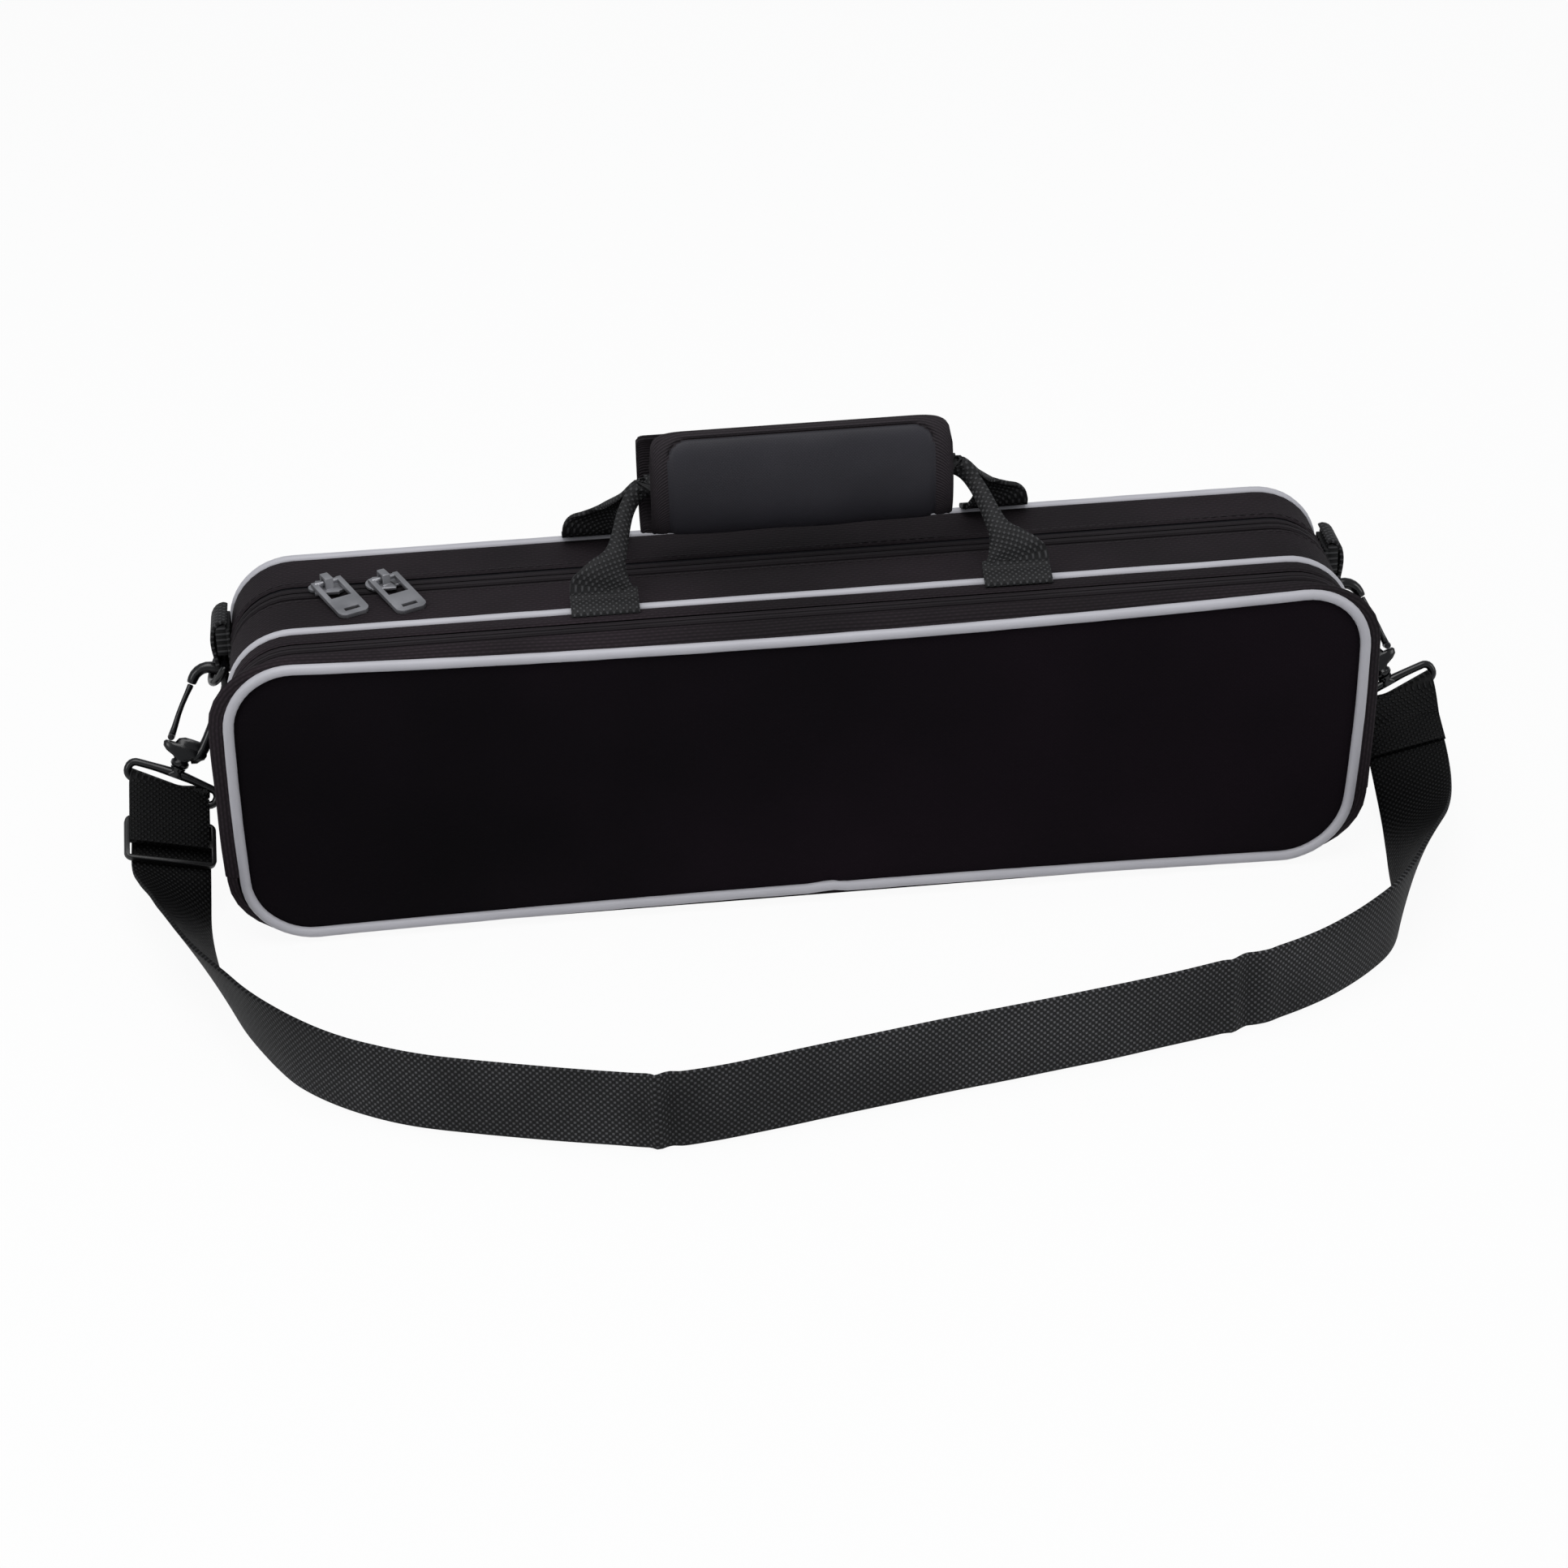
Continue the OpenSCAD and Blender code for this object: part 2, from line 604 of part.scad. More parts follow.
module ring_tab() color(charcoal) difference() {
    union() {
        translate([case_len / 2 + seat, ring_y - tab_w / 2, ring_z]) cube([webbing_t, tab_w, 18]);
        translate([case_len / 2 + seat + webbing_t, ring_y - tab_w / 2, ring_z + 2])
            cube([webbing_t, tab_w, 15]);
        translate([bar_x, ring_y + tab_w / 2, ring_z]) rotate([90, 0, 0])
            cylinder(tab_w, r = ring_wire / 2 + gap + webbing_t - seat);
    }
    translate([bar_x, ring_y + tab_w, ring_z]) rotate([90, 0, 0])
        cylinder(2 * tab_w, r = ring_wire / 2 + gap);
}

module ring() color(gunmetal) translate([bar_x, ring_y, ring_z]) rotate([0, -ring_swing, 0]) {
    rotate([90, 0, 0]) cylinder(2 * ring_r, d = ring_wire, center = true);
    rotate([0, 90, 0]) rotate([0, 0, -90]) rotate_extrude(angle = 180) translate([ring_r, 0]) circle(d = ring_wire);
    for (s = [-1, 1]) translate([0, s * ring_r, 0]) sphere(d = ring_wire);
}

// places its children in the hook's own frame: the ring's bow at the origin, Z up the hook
module on_hook() translate([bow_x, ring_y, bow_z]) rotate([-hook_lean, 0, 0]) rotate([0, -hook_out, 0]) children();

hook_r = hook_inner + hook_wire / 2;
// the bend's middle lies this far below the ring's bow
bend_z = -(hook_inner - ring_wire / 2 - 2 * gap);
nose_len = 2;
pin_z = -26;
foot_z = pin_z - 4;
foot_h = 6;
neck_d = 7;
neck_z = foot_z - 5;
gate_w = 2.8;
gate_slot = gate_w + 1.8;

module hook() color(gunmetal) on_hook() {
    // bent top
    translate([0, 0, bend_z]) rotate([90, 0, 0]) rotate_extrude(angle = 180)
        translate([hook_r, 0]) circle(d = hook_wire);
    // nose that the gate shuts against
    translate([hook_r, 0, bend_z - nose_len]) cylinder(nose_len, d = hook_wire);
    // stem on the case's side
    translate([-hook_r, 0, pin_z]) cylinder(bend_z - pin_z, d = hook_wire);
    translate([-hook_r, 0, pin_z]) sphere(d = hook_wire);
    // foot, notched for the gate
    translate([-hook_r, -hook_wire / 2, foot_z]) difference() {
        cube([hook_r * 2 + hook_wire / 2, hook_wire, foot_h]);
        translate([2 * hook_r - gate_slot + gate_w / 2, -1, pin_z - foot_z - gate_w / 2 - gap])
            cube([hook_r * 2, hook_wire + 2, foot_h]);
    }
    translate([0, 0, neck_z]) cylinder(foot_z - neck_z + seat, d = neck_d);
}

// sprung gate, hinged at the hook's foot
module gate() {
    top = bend_z - nose_len - gap;
    color(gunmetal) on_hook() translate([hook_r, 0, pin_z]) {
        translate([-gate_w / 2, -hook_wire * 0.4, 0]) cube([gate_w, hook_wire * 0.8, top - pin_z]);
        rotate([90, 0, 0]) cylinder(hook_wire * 0.8, d = gate_w, center = true);
    }
}

eye_wire = 3;
eye_w = strap_w + 2 * eye_wire + 2.4;
eye_top_z = neck_z - 4.7;
barrel_d = 6;

module swivel_eye() color(gunmetal) on_hook() {
    translate([0, 0, eye_top_z]) cylinder(neck_z - gap - eye_top_z, d = barrel_d);
    side_x = (eye_w - eye_wire) / 2;
    for (z = [eye_top_z, -hook_len]) {
        translate([0, 0, z]) rotate([0, 90, 0]) cylinder(2 * side_x, d = eye_wire, center = true);
        for (s = [-1, 1]) translate([s * side_x, 0, z]) sphere(d = eye_wire);
    }
    for (s = [-1, 1]) translate([s * side_x, 0, -hook_len]) cylinder(eye_top_z + hook_len, d = eye_wire);
}

// ---- shoulder strap -------------------------------------------------------------------

strap_t = 1.6;
// middle of the webbing bar at the right end, in the case's frame
function turn_x(v, a) = [v[0], v[1] * cos(a) - v[2] * sin(a), v[1] * sin(a) + v[2] * cos(a)];
function turn_y(v, a) = [v[0] * cos(a) + v[2] * sin(a), v[1], -v[0] * sin(a) + v[2] * cos(a)];
function from_hook(v) = [bow_x, ring_y, bow_z] + turn_x(turn_y(v, -hook_out), -hook_lean);
web_bar = from_hook([0, 0, -hook_len]);
bar_out = unit(from_hook([1, 0, 0]) - from_hook([0, 0, 0]));
// the webbing leaves the bar forwards and down
web_down = 23;
web_dir = [0, -cos(web_down), -sin(web_down)];
web_up = [0, -sin(web_down), cos(web_down)];
fold_r = eye_wire / 2 + strap_t / 2 + 2 * gap;
glide_at = 24;
glide_turn = 18;

function left_of(v) = [-v[0], v[1], v[2]];

// route of the strap between the two bars: x, y, z and the turn of its width from flat to upright
strap_route = [
    [-236.8, 5.5, 26.8, 18], [-236.8, -5.5, 22.1, 18], [-236.8, -16.6, 17.4, 18], [-235.5, -27, 14.8, 32],
    [-233.5, -38, 13.2, 45], [-231, -50, 12.9, 52], [-228, -62, 13.6, 58], [-224.5, -74, 14.2, 63],
    [-220.5, -86, 14.6, 68], [-216, -97, 14.9, 72], [-211, -108, 15.1, 76], [-205.5, -119, 15.2, 79],
    [-198.5, -130.5, 15.3, 83], [-190, -142, 15.3, 87], [-179, -153, 15.3, 89], [-166, -162.5, 15.3, 90],
    [-150, -171, 15.3, 90], [-130, -178.5, 15.3, 90], [-107, -185.5, 15.3, 90], [-84, -192, 15.3, 90],
    [-67, -196, 15.3, 90], [-50, -195, 15.3, 90], [-28, -190.5, 15.3, 90], [0, -184.5, 15.3, 90],
    [30, -178, 15.3, 90], [60, -172, 15.3, 90], [90, -166, 15.3, 90], [115, -160, 15.3, 90],
    [136, -154.5, 15.3, 90], [155, -148.5, 15.3, 90], [171, -141, 15.3, 90], [184, -132.5, 15.3, 90],
    [196, -122.5, 15.3, 89], [206, -112, 15.3, 87], [213, -100, 15.2, 83], [218, -88, 15, 75],
    [222.5, -75.5, 14.2, 66], [226.5, -63, 13.2, 56], [230.3, -50.5, 12.4, 46], [233.3, -38, 12.6, 37],
    [235.3, -26.5, 14.8, 29], [236.3, -16.5, 18, 23], [236.8, -6.5, 21.8, 19], [236.8, 5.5, 26.8, 18]];

// a flat strap's ring of eight points, its corners eased
function strap_ring(p, along, across) =
    let (up = unit(cross(along, across)), a = across * strap_w / 2, b = up * strap_t / 2, e = 0.97)
    [p - a - b * 0.4, p - a * e - b, p + a * e - b, p + a - b * 0.4,
     p + a + b * 0.4, p + a * e + b, p - a * e + b, p - a + b * 0.4];

function turned(along, turn) =
    let (out = unit(cross(along, [0, 0, 1])), up = cross(out, along)) out * cos(turn) + up * sin(turn);

module strap() {
    first = left_of(web_bar) - web_up * fold_r;
    final = web_bar - web_up * fold_r;
    mid = [for (q = strap_route) [q[0], q[1], q[2]]];
    path = concat([first], mid, [final]);
    m = len(path);
    rings = [for (i = [0:m - 1])
        i == 0 ? strap_ring(first, web_dir, left_of(bar_out))
        : i == m - 1 ? strap_ring(final, -web_dir, bar_out)
        : let (along = unit(path[i + 1] - path[i - 1]))
          strap_ring(path[i], along, turned(along, strap_route[i - 1][3]))];
    color(charcoal) swept(rings);
    travel = [for (i = [1:m - 1]) norm(path[i] - path[i - 1])];
    echo(strap_length = travel * [for (t = travel) 1]);
}

// the strap's end, folded round the bar and back over itself; side is -1 at the left
module strap_fold(side, back_over) {
    bar = side < 0 ? left_of(web_bar) : web_bar;
    out = side < 0 ? left_of(bar_out) : bar_out;
    steps = 8;
    turn = [for (i = [0:steps]) let (a = 270 - 180 * i / steps) [fold_r * cos(a), fold_r * sin(a)]];
    plan = concat(turn, back_over);
    m = len(plan);
    path = [for (q = plan) bar + web_dir * q[0] + web_up * q[1]];
    color(charcoal) swept([for (i = [0:m - 1])
        let (along = i == 0 ? -web_dir : unit(path[min(i + 1, m - 1)] - path[i - 1]))
        strap_ring(path[i], along, side < 0 ? out : -out)]);
}

module strap_fold_left() strap_fold(-1, [[6, fold_r], [13, 2.7], [19, 2.3], [23, 2.3], [27, 2.3]]);
module strap_fold_right() strap_fold(1, [[4, fold_r - 1.2], [8, -fold_r + strap_t + 1.4],
                                         [12, -fold_r + strap_t + 0.3], [24, -fold_r + strap_t + 0.3]]);

glide_len = 20;
glide_t = 2.4;
glide_rim = 3.4;

module tri_glide() {
    out = left_of(bar_out);
    side = unit(out - web_dir * (out * web_dir));
    up = cross(side, web_dir);
    sign = up[2] > 0 ? 1 : -1;
    at = left_of(web_bar) + web_dir * glide_at;
    w = strap_w + 2 * glide_rim - 2;
    color(gunmetal)
        multmatrix([for (r = [0:2]) [side[r], web_dir[r], sign * up[r] , at[r]]])
            linear_extrude(glide_t, center = true) difference() {
                rounded(w, glide_len, 3);
                for (s = [-1, 1]) translate([0, s * glide_len / 4]) square([strap_w + 1, glide_len / 2 - 3.5], center = true);
            }
}

module left_end() mirror([1, 0, 0]) children();

module ring_tab_right() ring_tab();
module ring_tab_left() left_end() ring_tab();
module ring_right() ring();
module ring_left() left_end() ring();
module hook_right() hook();
module hook_left() left_end() hook();
module gate_right() gate();
module gate_left() left_end() gate();
module swivel_eye_right() swivel_eye();
module swivel_eye_left() left_end() swivel_eye();

back_cover();
back_board();
back_piping();
insert_foam();
back_zip_tape();
back_zip_teeth();
hinge_strip();
ring_tab_left();
ring_tab_right();
back_handle_tabs();
front_cover();
front_board();
middle_piping();
lid_pad();
front_zip_tape();
front_zip_teeth();
pocket_gusset_back();
pocket_sill();
pocket_zip_back();
front_handle_tabs();
pocket_panel();
front_piping();
pocket_gusset_front();
pocket_zip_front();
slider_left();
slider_right();
pull_left();
pull_right();
pocket_slider();
pocket_pull();
front_handle_webbing();
grip_front_leaf();
grip_hook_strip();
back_handle_webbing();
grip_back_leaf();
grip_loop_strip();
ring_left();
ring_right();
hook_left();
hook_right();
gate_left();
gate_right();
swivel_eye_left();
swivel_eye_right();
strap_fold_left();
strap_fold_right();
tri_glide();
strap();
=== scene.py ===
"""Soft zipped flute case, dressed around its solids: cloth, webbing, piping, zips and black hardware."""

import math

import bpy
from bpy.props import FloatProperty, FloatVectorProperty, PointerProperty
from bpy.types import Operator, Panel, PropertyGroup
from mathutils import Matrix, Quaternion, Vector, noise


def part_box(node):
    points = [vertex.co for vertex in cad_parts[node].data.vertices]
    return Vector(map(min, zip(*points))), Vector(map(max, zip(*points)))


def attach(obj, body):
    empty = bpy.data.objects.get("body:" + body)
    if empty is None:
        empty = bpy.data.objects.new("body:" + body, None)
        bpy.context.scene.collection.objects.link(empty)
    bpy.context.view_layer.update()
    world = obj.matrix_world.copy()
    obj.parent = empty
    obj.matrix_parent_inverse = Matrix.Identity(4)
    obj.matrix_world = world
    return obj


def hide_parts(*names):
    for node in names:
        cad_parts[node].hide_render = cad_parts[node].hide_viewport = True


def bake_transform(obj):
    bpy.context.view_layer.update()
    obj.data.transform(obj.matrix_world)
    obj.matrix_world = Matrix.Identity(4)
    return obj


bl_info = {
    "name": "Flute case",
    "version": (1, 0, 0),
    "blender": (4, 5, 0),
    "location": "View3D > Sidebar > Flute case",
    "description": "Cloth, webbing, piping and hardware of a soft flute case",
    "category": "Object",
}

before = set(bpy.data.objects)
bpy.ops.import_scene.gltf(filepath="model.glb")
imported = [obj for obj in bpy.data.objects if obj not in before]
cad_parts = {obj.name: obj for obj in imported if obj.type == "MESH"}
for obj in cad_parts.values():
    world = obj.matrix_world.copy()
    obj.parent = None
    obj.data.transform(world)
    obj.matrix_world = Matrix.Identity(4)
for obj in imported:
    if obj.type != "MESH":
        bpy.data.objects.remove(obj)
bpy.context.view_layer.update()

# ---- sizes of the case, in millimetres; its places are those of the solids --------------------

MM = 0.001
wall_low, wall_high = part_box("front_cover")
LENGTH = (wall_high.x - wall_low.x) / MM
HEIGHT = wall_high.z / MM
CORNER = 25
# loops of piping: width, height, corner and the height of their middle, then where each is in depth
LOOP_W, LOOP_H, LOOP_R, LOOP_Z = 414, 112, 24, 58
FRONT_LOOP_Y, MIDDLE_LOOP_Y, BACK_LOOP_Y = -43, -17, 43
# cloth inside the loops: width, lowest and highest edge, corner
PANEL = (411.9, 3.05, 112.95, 22.95)
# where the pocket's bottom edge is gathered into a pucker
PUCKER_X = 8
# soft wall of the pocket: its seam at the piping, and how far back it reaches
SEAM_Y, SOFT_DEPTH = -41.3, 7.1
# each zip's place in depth, and the height that its ends come down to
ZIP_Y, ZIP_END = 14, 20
POCKET_ZIP_Y, FLAP_Z = -30, 27
# the handles: their middle and the height they hinge at, then the grip's height and length, and where the
# rings' tabs stand in depth
HANDLE_X, HANDLE_Z = 7, 117.8
GRIP_Z, GRIP_LENGTH = 149, 112
RING_Y = 31

# the strap's route between the two webbing bars: x, y, z and the turn of its width from flat to
# upright; its length; and the creases it was folded into: x, depth and reach
STRAP_ROUTE = [
    (-236.8, 5.5, 26.8, 18), (-236.8, -5.5, 22.1, 18), (-236.8, -16.6, 17.4, 18), (-235.5, -27, 14.8, 32),
    (-233.5, -38, 13.2, 45), (-231, -50, 12.9, 52), (-228, -62, 13.6, 58), (-224.5, -74, 14.2, 63),
    (-220.5, -86, 14.6, 68), (-216, -97, 14.9, 72), (-211, -108, 15.1, 76), (-205.5, -119, 15.2, 79),
    (-198.5, -130.5, 15.3, 83), (-190, -142, 15.3, 87), (-179, -153, 15.3, 89), (-166, -162.5, 15.3, 90),
    (-150, -171, 15.3, 90), (-130, -178.5, 15.3, 90), (-107, -185.5, 15.3, 90), (-84, -192, 15.3, 90),
    (-67, -196, 15.3, 90), (-50, -195, 15.3, 90), (-28, -190.5, 15.3, 90), (0, -184.5, 15.3, 90),
    (30, -178, 15.3, 90), (60, -172, 15.3, 90), (90, -166, 15.3, 90), (115, -160, 15.3, 90),
    (136, -154.5, 15.3, 90), (155, -148.5, 15.3, 90), (171, -141, 15.3, 90), (184, -132.5, 15.3, 90),
    (196, -122.5, 15.3, 89), (206, -112, 15.3, 87), (213, -100, 15.2, 83), (218, -88, 15, 75),
    (222.5, -75.5, 14.2, 66), (226.5, -63, 13.2, 56), (230.3, -50.5, 12.4, 46), (233.3, -38, 12.6, 37),
    (235.3, -26.5, 14.8, 29), (236.3, -16.5, 18, 23), (236.8, -6.5, 21.8, 19), (236.8, 5.5, 26.8, 18)]
STRAP_LENGTH = 737
CREASES = ((-68, 1.7, 1.6), (-63, -1.0, 2.2), (138, 1.3, 2.0), (144, -1.2, 2.4), (152, 0.7, 3.0))
# the right webbing bar, its direction, those along and away from the webbing, and the fold's radius
WEB_SLOPE = math.radians(23)
WEB_BAR = Vector((236.83, 15.38, 34.12))
BAR_OUT = Vector((0.906, 0.158, 0.392)).normalized()
WEB_DIR = Vector((0, -math.cos(WEB_SLOPE), -math.sin(WEB_SLOPE)))
WEB_UP = Vector((0, -math.sin(WEB_SLOPE), math.cos(WEB_SLOPE)))
FOLD_R = 2.9
# the hooks' own frame at the right end: the ring's bow, the forward lean and the outward one
HOOK_AT = Matrix.Translation((217.39, RING_Y, 72.77)) @ Matrix.Rotation(math.radians(-22), 4, "X") \
    @ Matrix.Rotation(math.radians(-25), 4, "Y")


def linear(hex_colour):
    """A colour's sRGB hex value as linear red, green, blue and alpha."""
    parts = [int(hex_colour[i:i + 2], 16) / 255 for i in (1, 3, 5)]
    return [c / 12.92 if c <= 0.04045 else ((c + 0.055) / 1.055) ** 2.4 for c in parts] + [1.0]


# ---- what a user would change ------------------------------------------------------------------

def size_of(name, description, default, low, high):
    return FloatProperty(name=name, description=description, default=default, min=low, max=high,
                         unit="LENGTH")


def colour_of(name, description, default):
    return FloatVectorProperty(name=name, description=description, default=linear(default), size=4, min=0,
                               max=1, subtype="COLOR")


class FluteCaseSizes(PropertyGroup):
    piping: size_of("Piping", "Diameter of the piping", 0.004, 0.003, 0.005)
    strap_width: size_of("Strap width", "Width of the shoulder strap", 0.030, 0.025, 0.032)
    strap_thickness: size_of("Strap thickness", "Thickness of the strap's webbing", 0.0016, 0.001, 0.0025)
    handle_width: size_of("Handle width", "Width of the handles' webbing", 0.025, 0.02, 0.028)
    coil_pitch: size_of("Coil pitch", "Distance between two turns of a zip's coil", 0.0017, 0.001, 0.003)


class FluteCaseColours(PropertyGroup):
    cover: colour_of("Cover", "Woven cover of body and pocket walls", "#221e21")
    panel: colour_of("Pocket panel", "Smooth cloth of the pocket's front", "#0d0c10")
    piping: colour_of("Piping", "Satin cloth round the piping", "#b4b3b9")
    webbing: colour_of("Webbing", "Webbing of strap and handles", "#2a2a2b")
    grip: colour_of("Grip", "Smooth padded cloth of the grip", "#2e2d32")
    metal: colour_of("Metal", "Plated sliders and pulls", "#9a9a9e")
    hardware: colour_of("Hardware", "Blackened rings, hooks and eyes", "#08080a")
    lining: colour_of("Lining", "Plush that lines the inside", "#1c1c2c")


# ---- working in Blender ------------------------------------------------------------------------

def only(piece):
    """Selects one piece and nothing else."""
    bpy.ops.object.select_all(action="DESELECT")
    if piece:
        piece.select_set(True)
    bpy.context.view_layer.objects.active = piece


def edit(piece, *steps):
    """Runs edit-mode steps on all of a piece's faces."""
    only(piece)
    bpy.ops.object.mode_set(mode="EDIT")
    bpy.ops.mesh.select_all(action="SELECT")
    for step, settings in steps:
        getattr(bpy.ops.mesh, step)(**settings)
    bpy.ops.object.mode_set(mode="OBJECT")


def modify(piece, kind, **settings):
    """Adds a modifier and applies it."""
    only(piece)
    bpy.ops.object.modifier_add(type=kind)
    added = piece.modifiers[-1]
    for key, value in settings.items():
        setattr(added, key, value)
    bpy.ops.object.modifier_apply(modifier=added.name)


def eased(piece, width, angle):
    """Rounds the edges that turn by more than an angle."""
    modify(piece, "BEVEL", width=width * MM, segments=2, limit_method="ANGLE",
           angle_limit=math.radians(angle))


def laid_grid(name, rows, closed=False, thick=0, rounding=0, side=None):
    """A grid laid over rows of points in millimetres. Its UV map counts metres across and along.
    closed joins its ends and fills its holes. thick gives a wall, half on each side of the rows, or all
    within them where side says which way the outside faces."""
    only(None)
    across, along = len(rows[0]) - 1, len(rows) - 1
    bpy.ops.mesh.primitive_grid_add(x_subdivisions=across, y_subdivisions=along, size=1, calc_uvs=True)
    piece = bpy.context.object
    piece.name = piece.data.name = name
    for v in piece.data.vertices:
        i, j = round((v.co.x + 0.5) * across), round((v.co.y + 0.5) * along)
        v.co = rows[j][i] * MM
    run_across, run_along = [travel(row) for row in rows], travel([row[across // 2] for row in rows])
    for corner in piece.data.uv_layers.active.data:
        i, j = round(corner.uv.x * across), round(corner.uv.y * along)
        corner.uv = ((run_across[j][i] - run_across[j][across // 2]) * MM, run_along[j] * MM)
    edit(piece, ("remove_doubles", {"threshold": 2e-6}))
    if closed:
        edit(piece, ("fill_holes", {"sides": 0}), ("normals_make_consistent", {"inside": False}))
    elif side is not None:
        face = piece.data.polygons[len(piece.data.polygons) // 2]
        if face.normal.dot(side) < 0:
            edit(piece, ("flip_normals", {}))
    if thick:
        modify(piece, "SOLIDIFY", thickness=thick * MM, offset=0 if side is None else -1,
               use_even_offset=False)
    if rounding:
        eased(piece, rounding, 50)
    return piece


def tube(name, points, radius, sides=12, closed=False, flat=None):
    """A round bar along points in millimetres, with a radius for each point."""
    count = len(points)
    rows, normal = [], flat
    for i, p in enumerate(points):
        before = points[(i - 1) % count] if closed or i else p
        after = points[(i + 1) % count] if closed or i < count - 1 else p
        along = (after - before).normalized()
        if normal is None:
            normal = along.orthogonal()
        normal = squared(flat or normal, along)
        other = along.cross(normal)
        rows.append([p + normal * (radius[i] * math.cos(math.tau * k / sides))
                     + other * (radius[i] * math.sin(math.tau * k / sides)) for k in range(sides)])
        rows[-1].append(rows[-1][0].copy())
    if closed:
        rows.append([p.copy() for p in rows[0]])
    return laid_grid(name, rows, closed=True)


def repeated(name, part, places):
    """One piece made of copies of a part, each at its own matrix. The part is removed."""
    corners = [v.co.copy() for v in part.data.vertices]
    # a primitive lists its faces in an order that changes from run to run, so they are sorted
    faces = sorted(list(p.vertices) for p in part.data.polygons)
    bpy.data.objects.remove(part)
    mesh = bpy.data.meshes.new(name)
    mesh.from_pydata([m @ c for m in places for c in corners], [],
                     [[i + n * len(corners) for i in f] for n in range(len(places)) for f in faces])
    piece = bpy.data.objects.new(name, mesh)
    bpy.context.collection.objects.link(piece)
    mesh.update()
    return piece


def threaded(name, run, step, size, segments):
    """Small beads of thread at an even step along a run of (point, outward) pairs: stitches, or the turns
    of a zip's coil. Their size is that along, across and outward."""
    only(None)
    bpy.ops.mesh.primitive_uv_sphere_add(segments=segments, ring_count=4, radius=0.5)
    bead = bpy.context.object
    bead.data.transform(Matrix.Diagonal((*(s * MM for s in size), 1)))
    points, places = [p for p, _ in run], []
    for p, along in evenly(points, step):
        near = min(range(len(points)), key=lambda k: (points[k] - p).length_squared)
        x = along.normalized()
        z = squared(run[near][1], x)
        turn = Matrix((x, z.cross(x), z)).transposed().to_4x4()
        places.append(Matrix.Translation(p * MM) @ turn)
    return repeated(name, bead, places)


def joined(name, *parts):
    only(parts[0])
    for part in parts[1:]:
        part.select_set(True)
    bpy.ops.object.join()
    parts[0].name = parts[0].data.name = name
    return parts[0]


def softened(node, name, bevel):
    """A copy of a solid with its corners eased, as a casting's or a moulding's are."""
    only(None)
    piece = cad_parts[node].copy()
    piece.data = piece.data.copy()
    for key in list(piece.keys()):
        del piece[key]
    piece.parent = None
    piece.matrix_world = Matrix.Identity(4)
    bpy.context.collection.objects.link(piece)
    piece.name = piece.data.name = name
    piece.data.materials.clear()
    edit(piece, ("remove_doubles", {"threshold": 1e-6}),
         ("dissolve_limited", {"angle_limit": math.radians(2)}))
    eased(piece, bevel, 30)
    return piece


def refinished(node, finish):
    """A solid that keeps its shape, with its finish changed."""
    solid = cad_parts[node]
    solid.data.materials.clear()
    solid.data.materials.append(finish_named(finish))
    return solid


def smooth(piece, angle=40):
    only(piece)
    bpy.ops.object.shade_smooth_by_angle(angle=math.radians(angle))


def dress(piece, finish, body, replaces=(), angle=40):
    """Gives a piece its finish, shading, body, material slot and the solids that it stands for. body is one
    name, which the piece is attached to, or two names with two places in millimetres, which are not used:
    such a piece only has its place baked into its mesh."""
    if not piece.data.materials:
        piece.data.materials.append(finish_named(finish))
    smooth(piece, angle)
    if isinstance(body, str):
        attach(piece, body)
    else:
        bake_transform(piece)
    if replaces:
        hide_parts(*replaces)
    return piece


# ---- runs of points ----------------------------------------------------------------------------

def travel(points):
    """Distance along a run of points at each of them."""
    run = [0.0]
    for a, b in zip(points, points[1:]):
        run.append(run[-1] + (b - a).length)
    return run


def heading(points, i):
    """Direction of a run at one of its points."""
    return (points[min(i + 1, len(points) - 1)] - points[max(i - 1, 0)]).normalized()


def squared(direction, along):
    """A direction turned until it is square to the run."""
    return (direction - along * direction.dot(along)).normalized()


def on_side(place, side):
    """A place or direction at the right end, or mirrored to the left one."""
    return Vector((side * place.x, place.y, place.z))


def spread(count):
    """Evenly from -1 to 1, in so many steps."""
    return [k / count * 2 - 1 for k in range(count + 1)]


def arc(x, z, radius_x, radius_z, angles):
    """Points of an oval round a middle, at angles in degrees."""
    turns = [math.radians(angle) for angle in angles]
    return [(x + radius_x * math.cos(turn), z + radius_z * math.sin(turn)) for turn in turns]


def evenly(points, step):
    """Points at an even step along a run, with the direction there."""
    run, out, at, i = travel(points), [], step / 2, 0
    while at < run[-1]:
        while run[i + 1] < at:
            i += 1
        share = (at - run[i]) / max(run[i + 1] - run[i], 1e-9)
        out.append((points[i].lerp(points[i + 1], share), points[i + 1] - points[i]))
        at += step
    return out


def catmull(a, b, c, d, t):
    """The curve through four numbers, at a share t of the way from the second to the third."""
    return 0.5 * ((2 * b) + (c - a) * t + (2 * a - 5 * b + 4 * c - d) * t * t
                  + (3 * b - a - 3 * c + d) * t ** 3)


def smoothed(values, steps):
    """A finer run through rows of numbers."""
    out = []
    for i in range(len(values) - 1):
        a, b, c, d = (values[max(i - 1, 0)], values[i], values[i + 1], values[min(i + 2, len(values) - 1)])
        for s in range(steps):
            out.append([catmull(*q, s / steps) for q in zip(a, b, c, d)])
    return out + [list(values[-1])]


# ---- finishes ----------------------------------------------------------------------------------

def add(tree, kind, inputs=(), **settings):
    """Adds a node with its settings, and with its inputs as numbers or as links."""
    made = tree.nodes.new("ShaderNode" + kind)
    for key, value in settings.items():
        setattr(made, key, value)
    for socket, value in dict(inputs).items():
        if isinstance(value, bpy.types.NodeSocket):
            tree.links.new(value, made.inputs[socket])
        else:
            made.inputs[socket].default_value = value
    return made


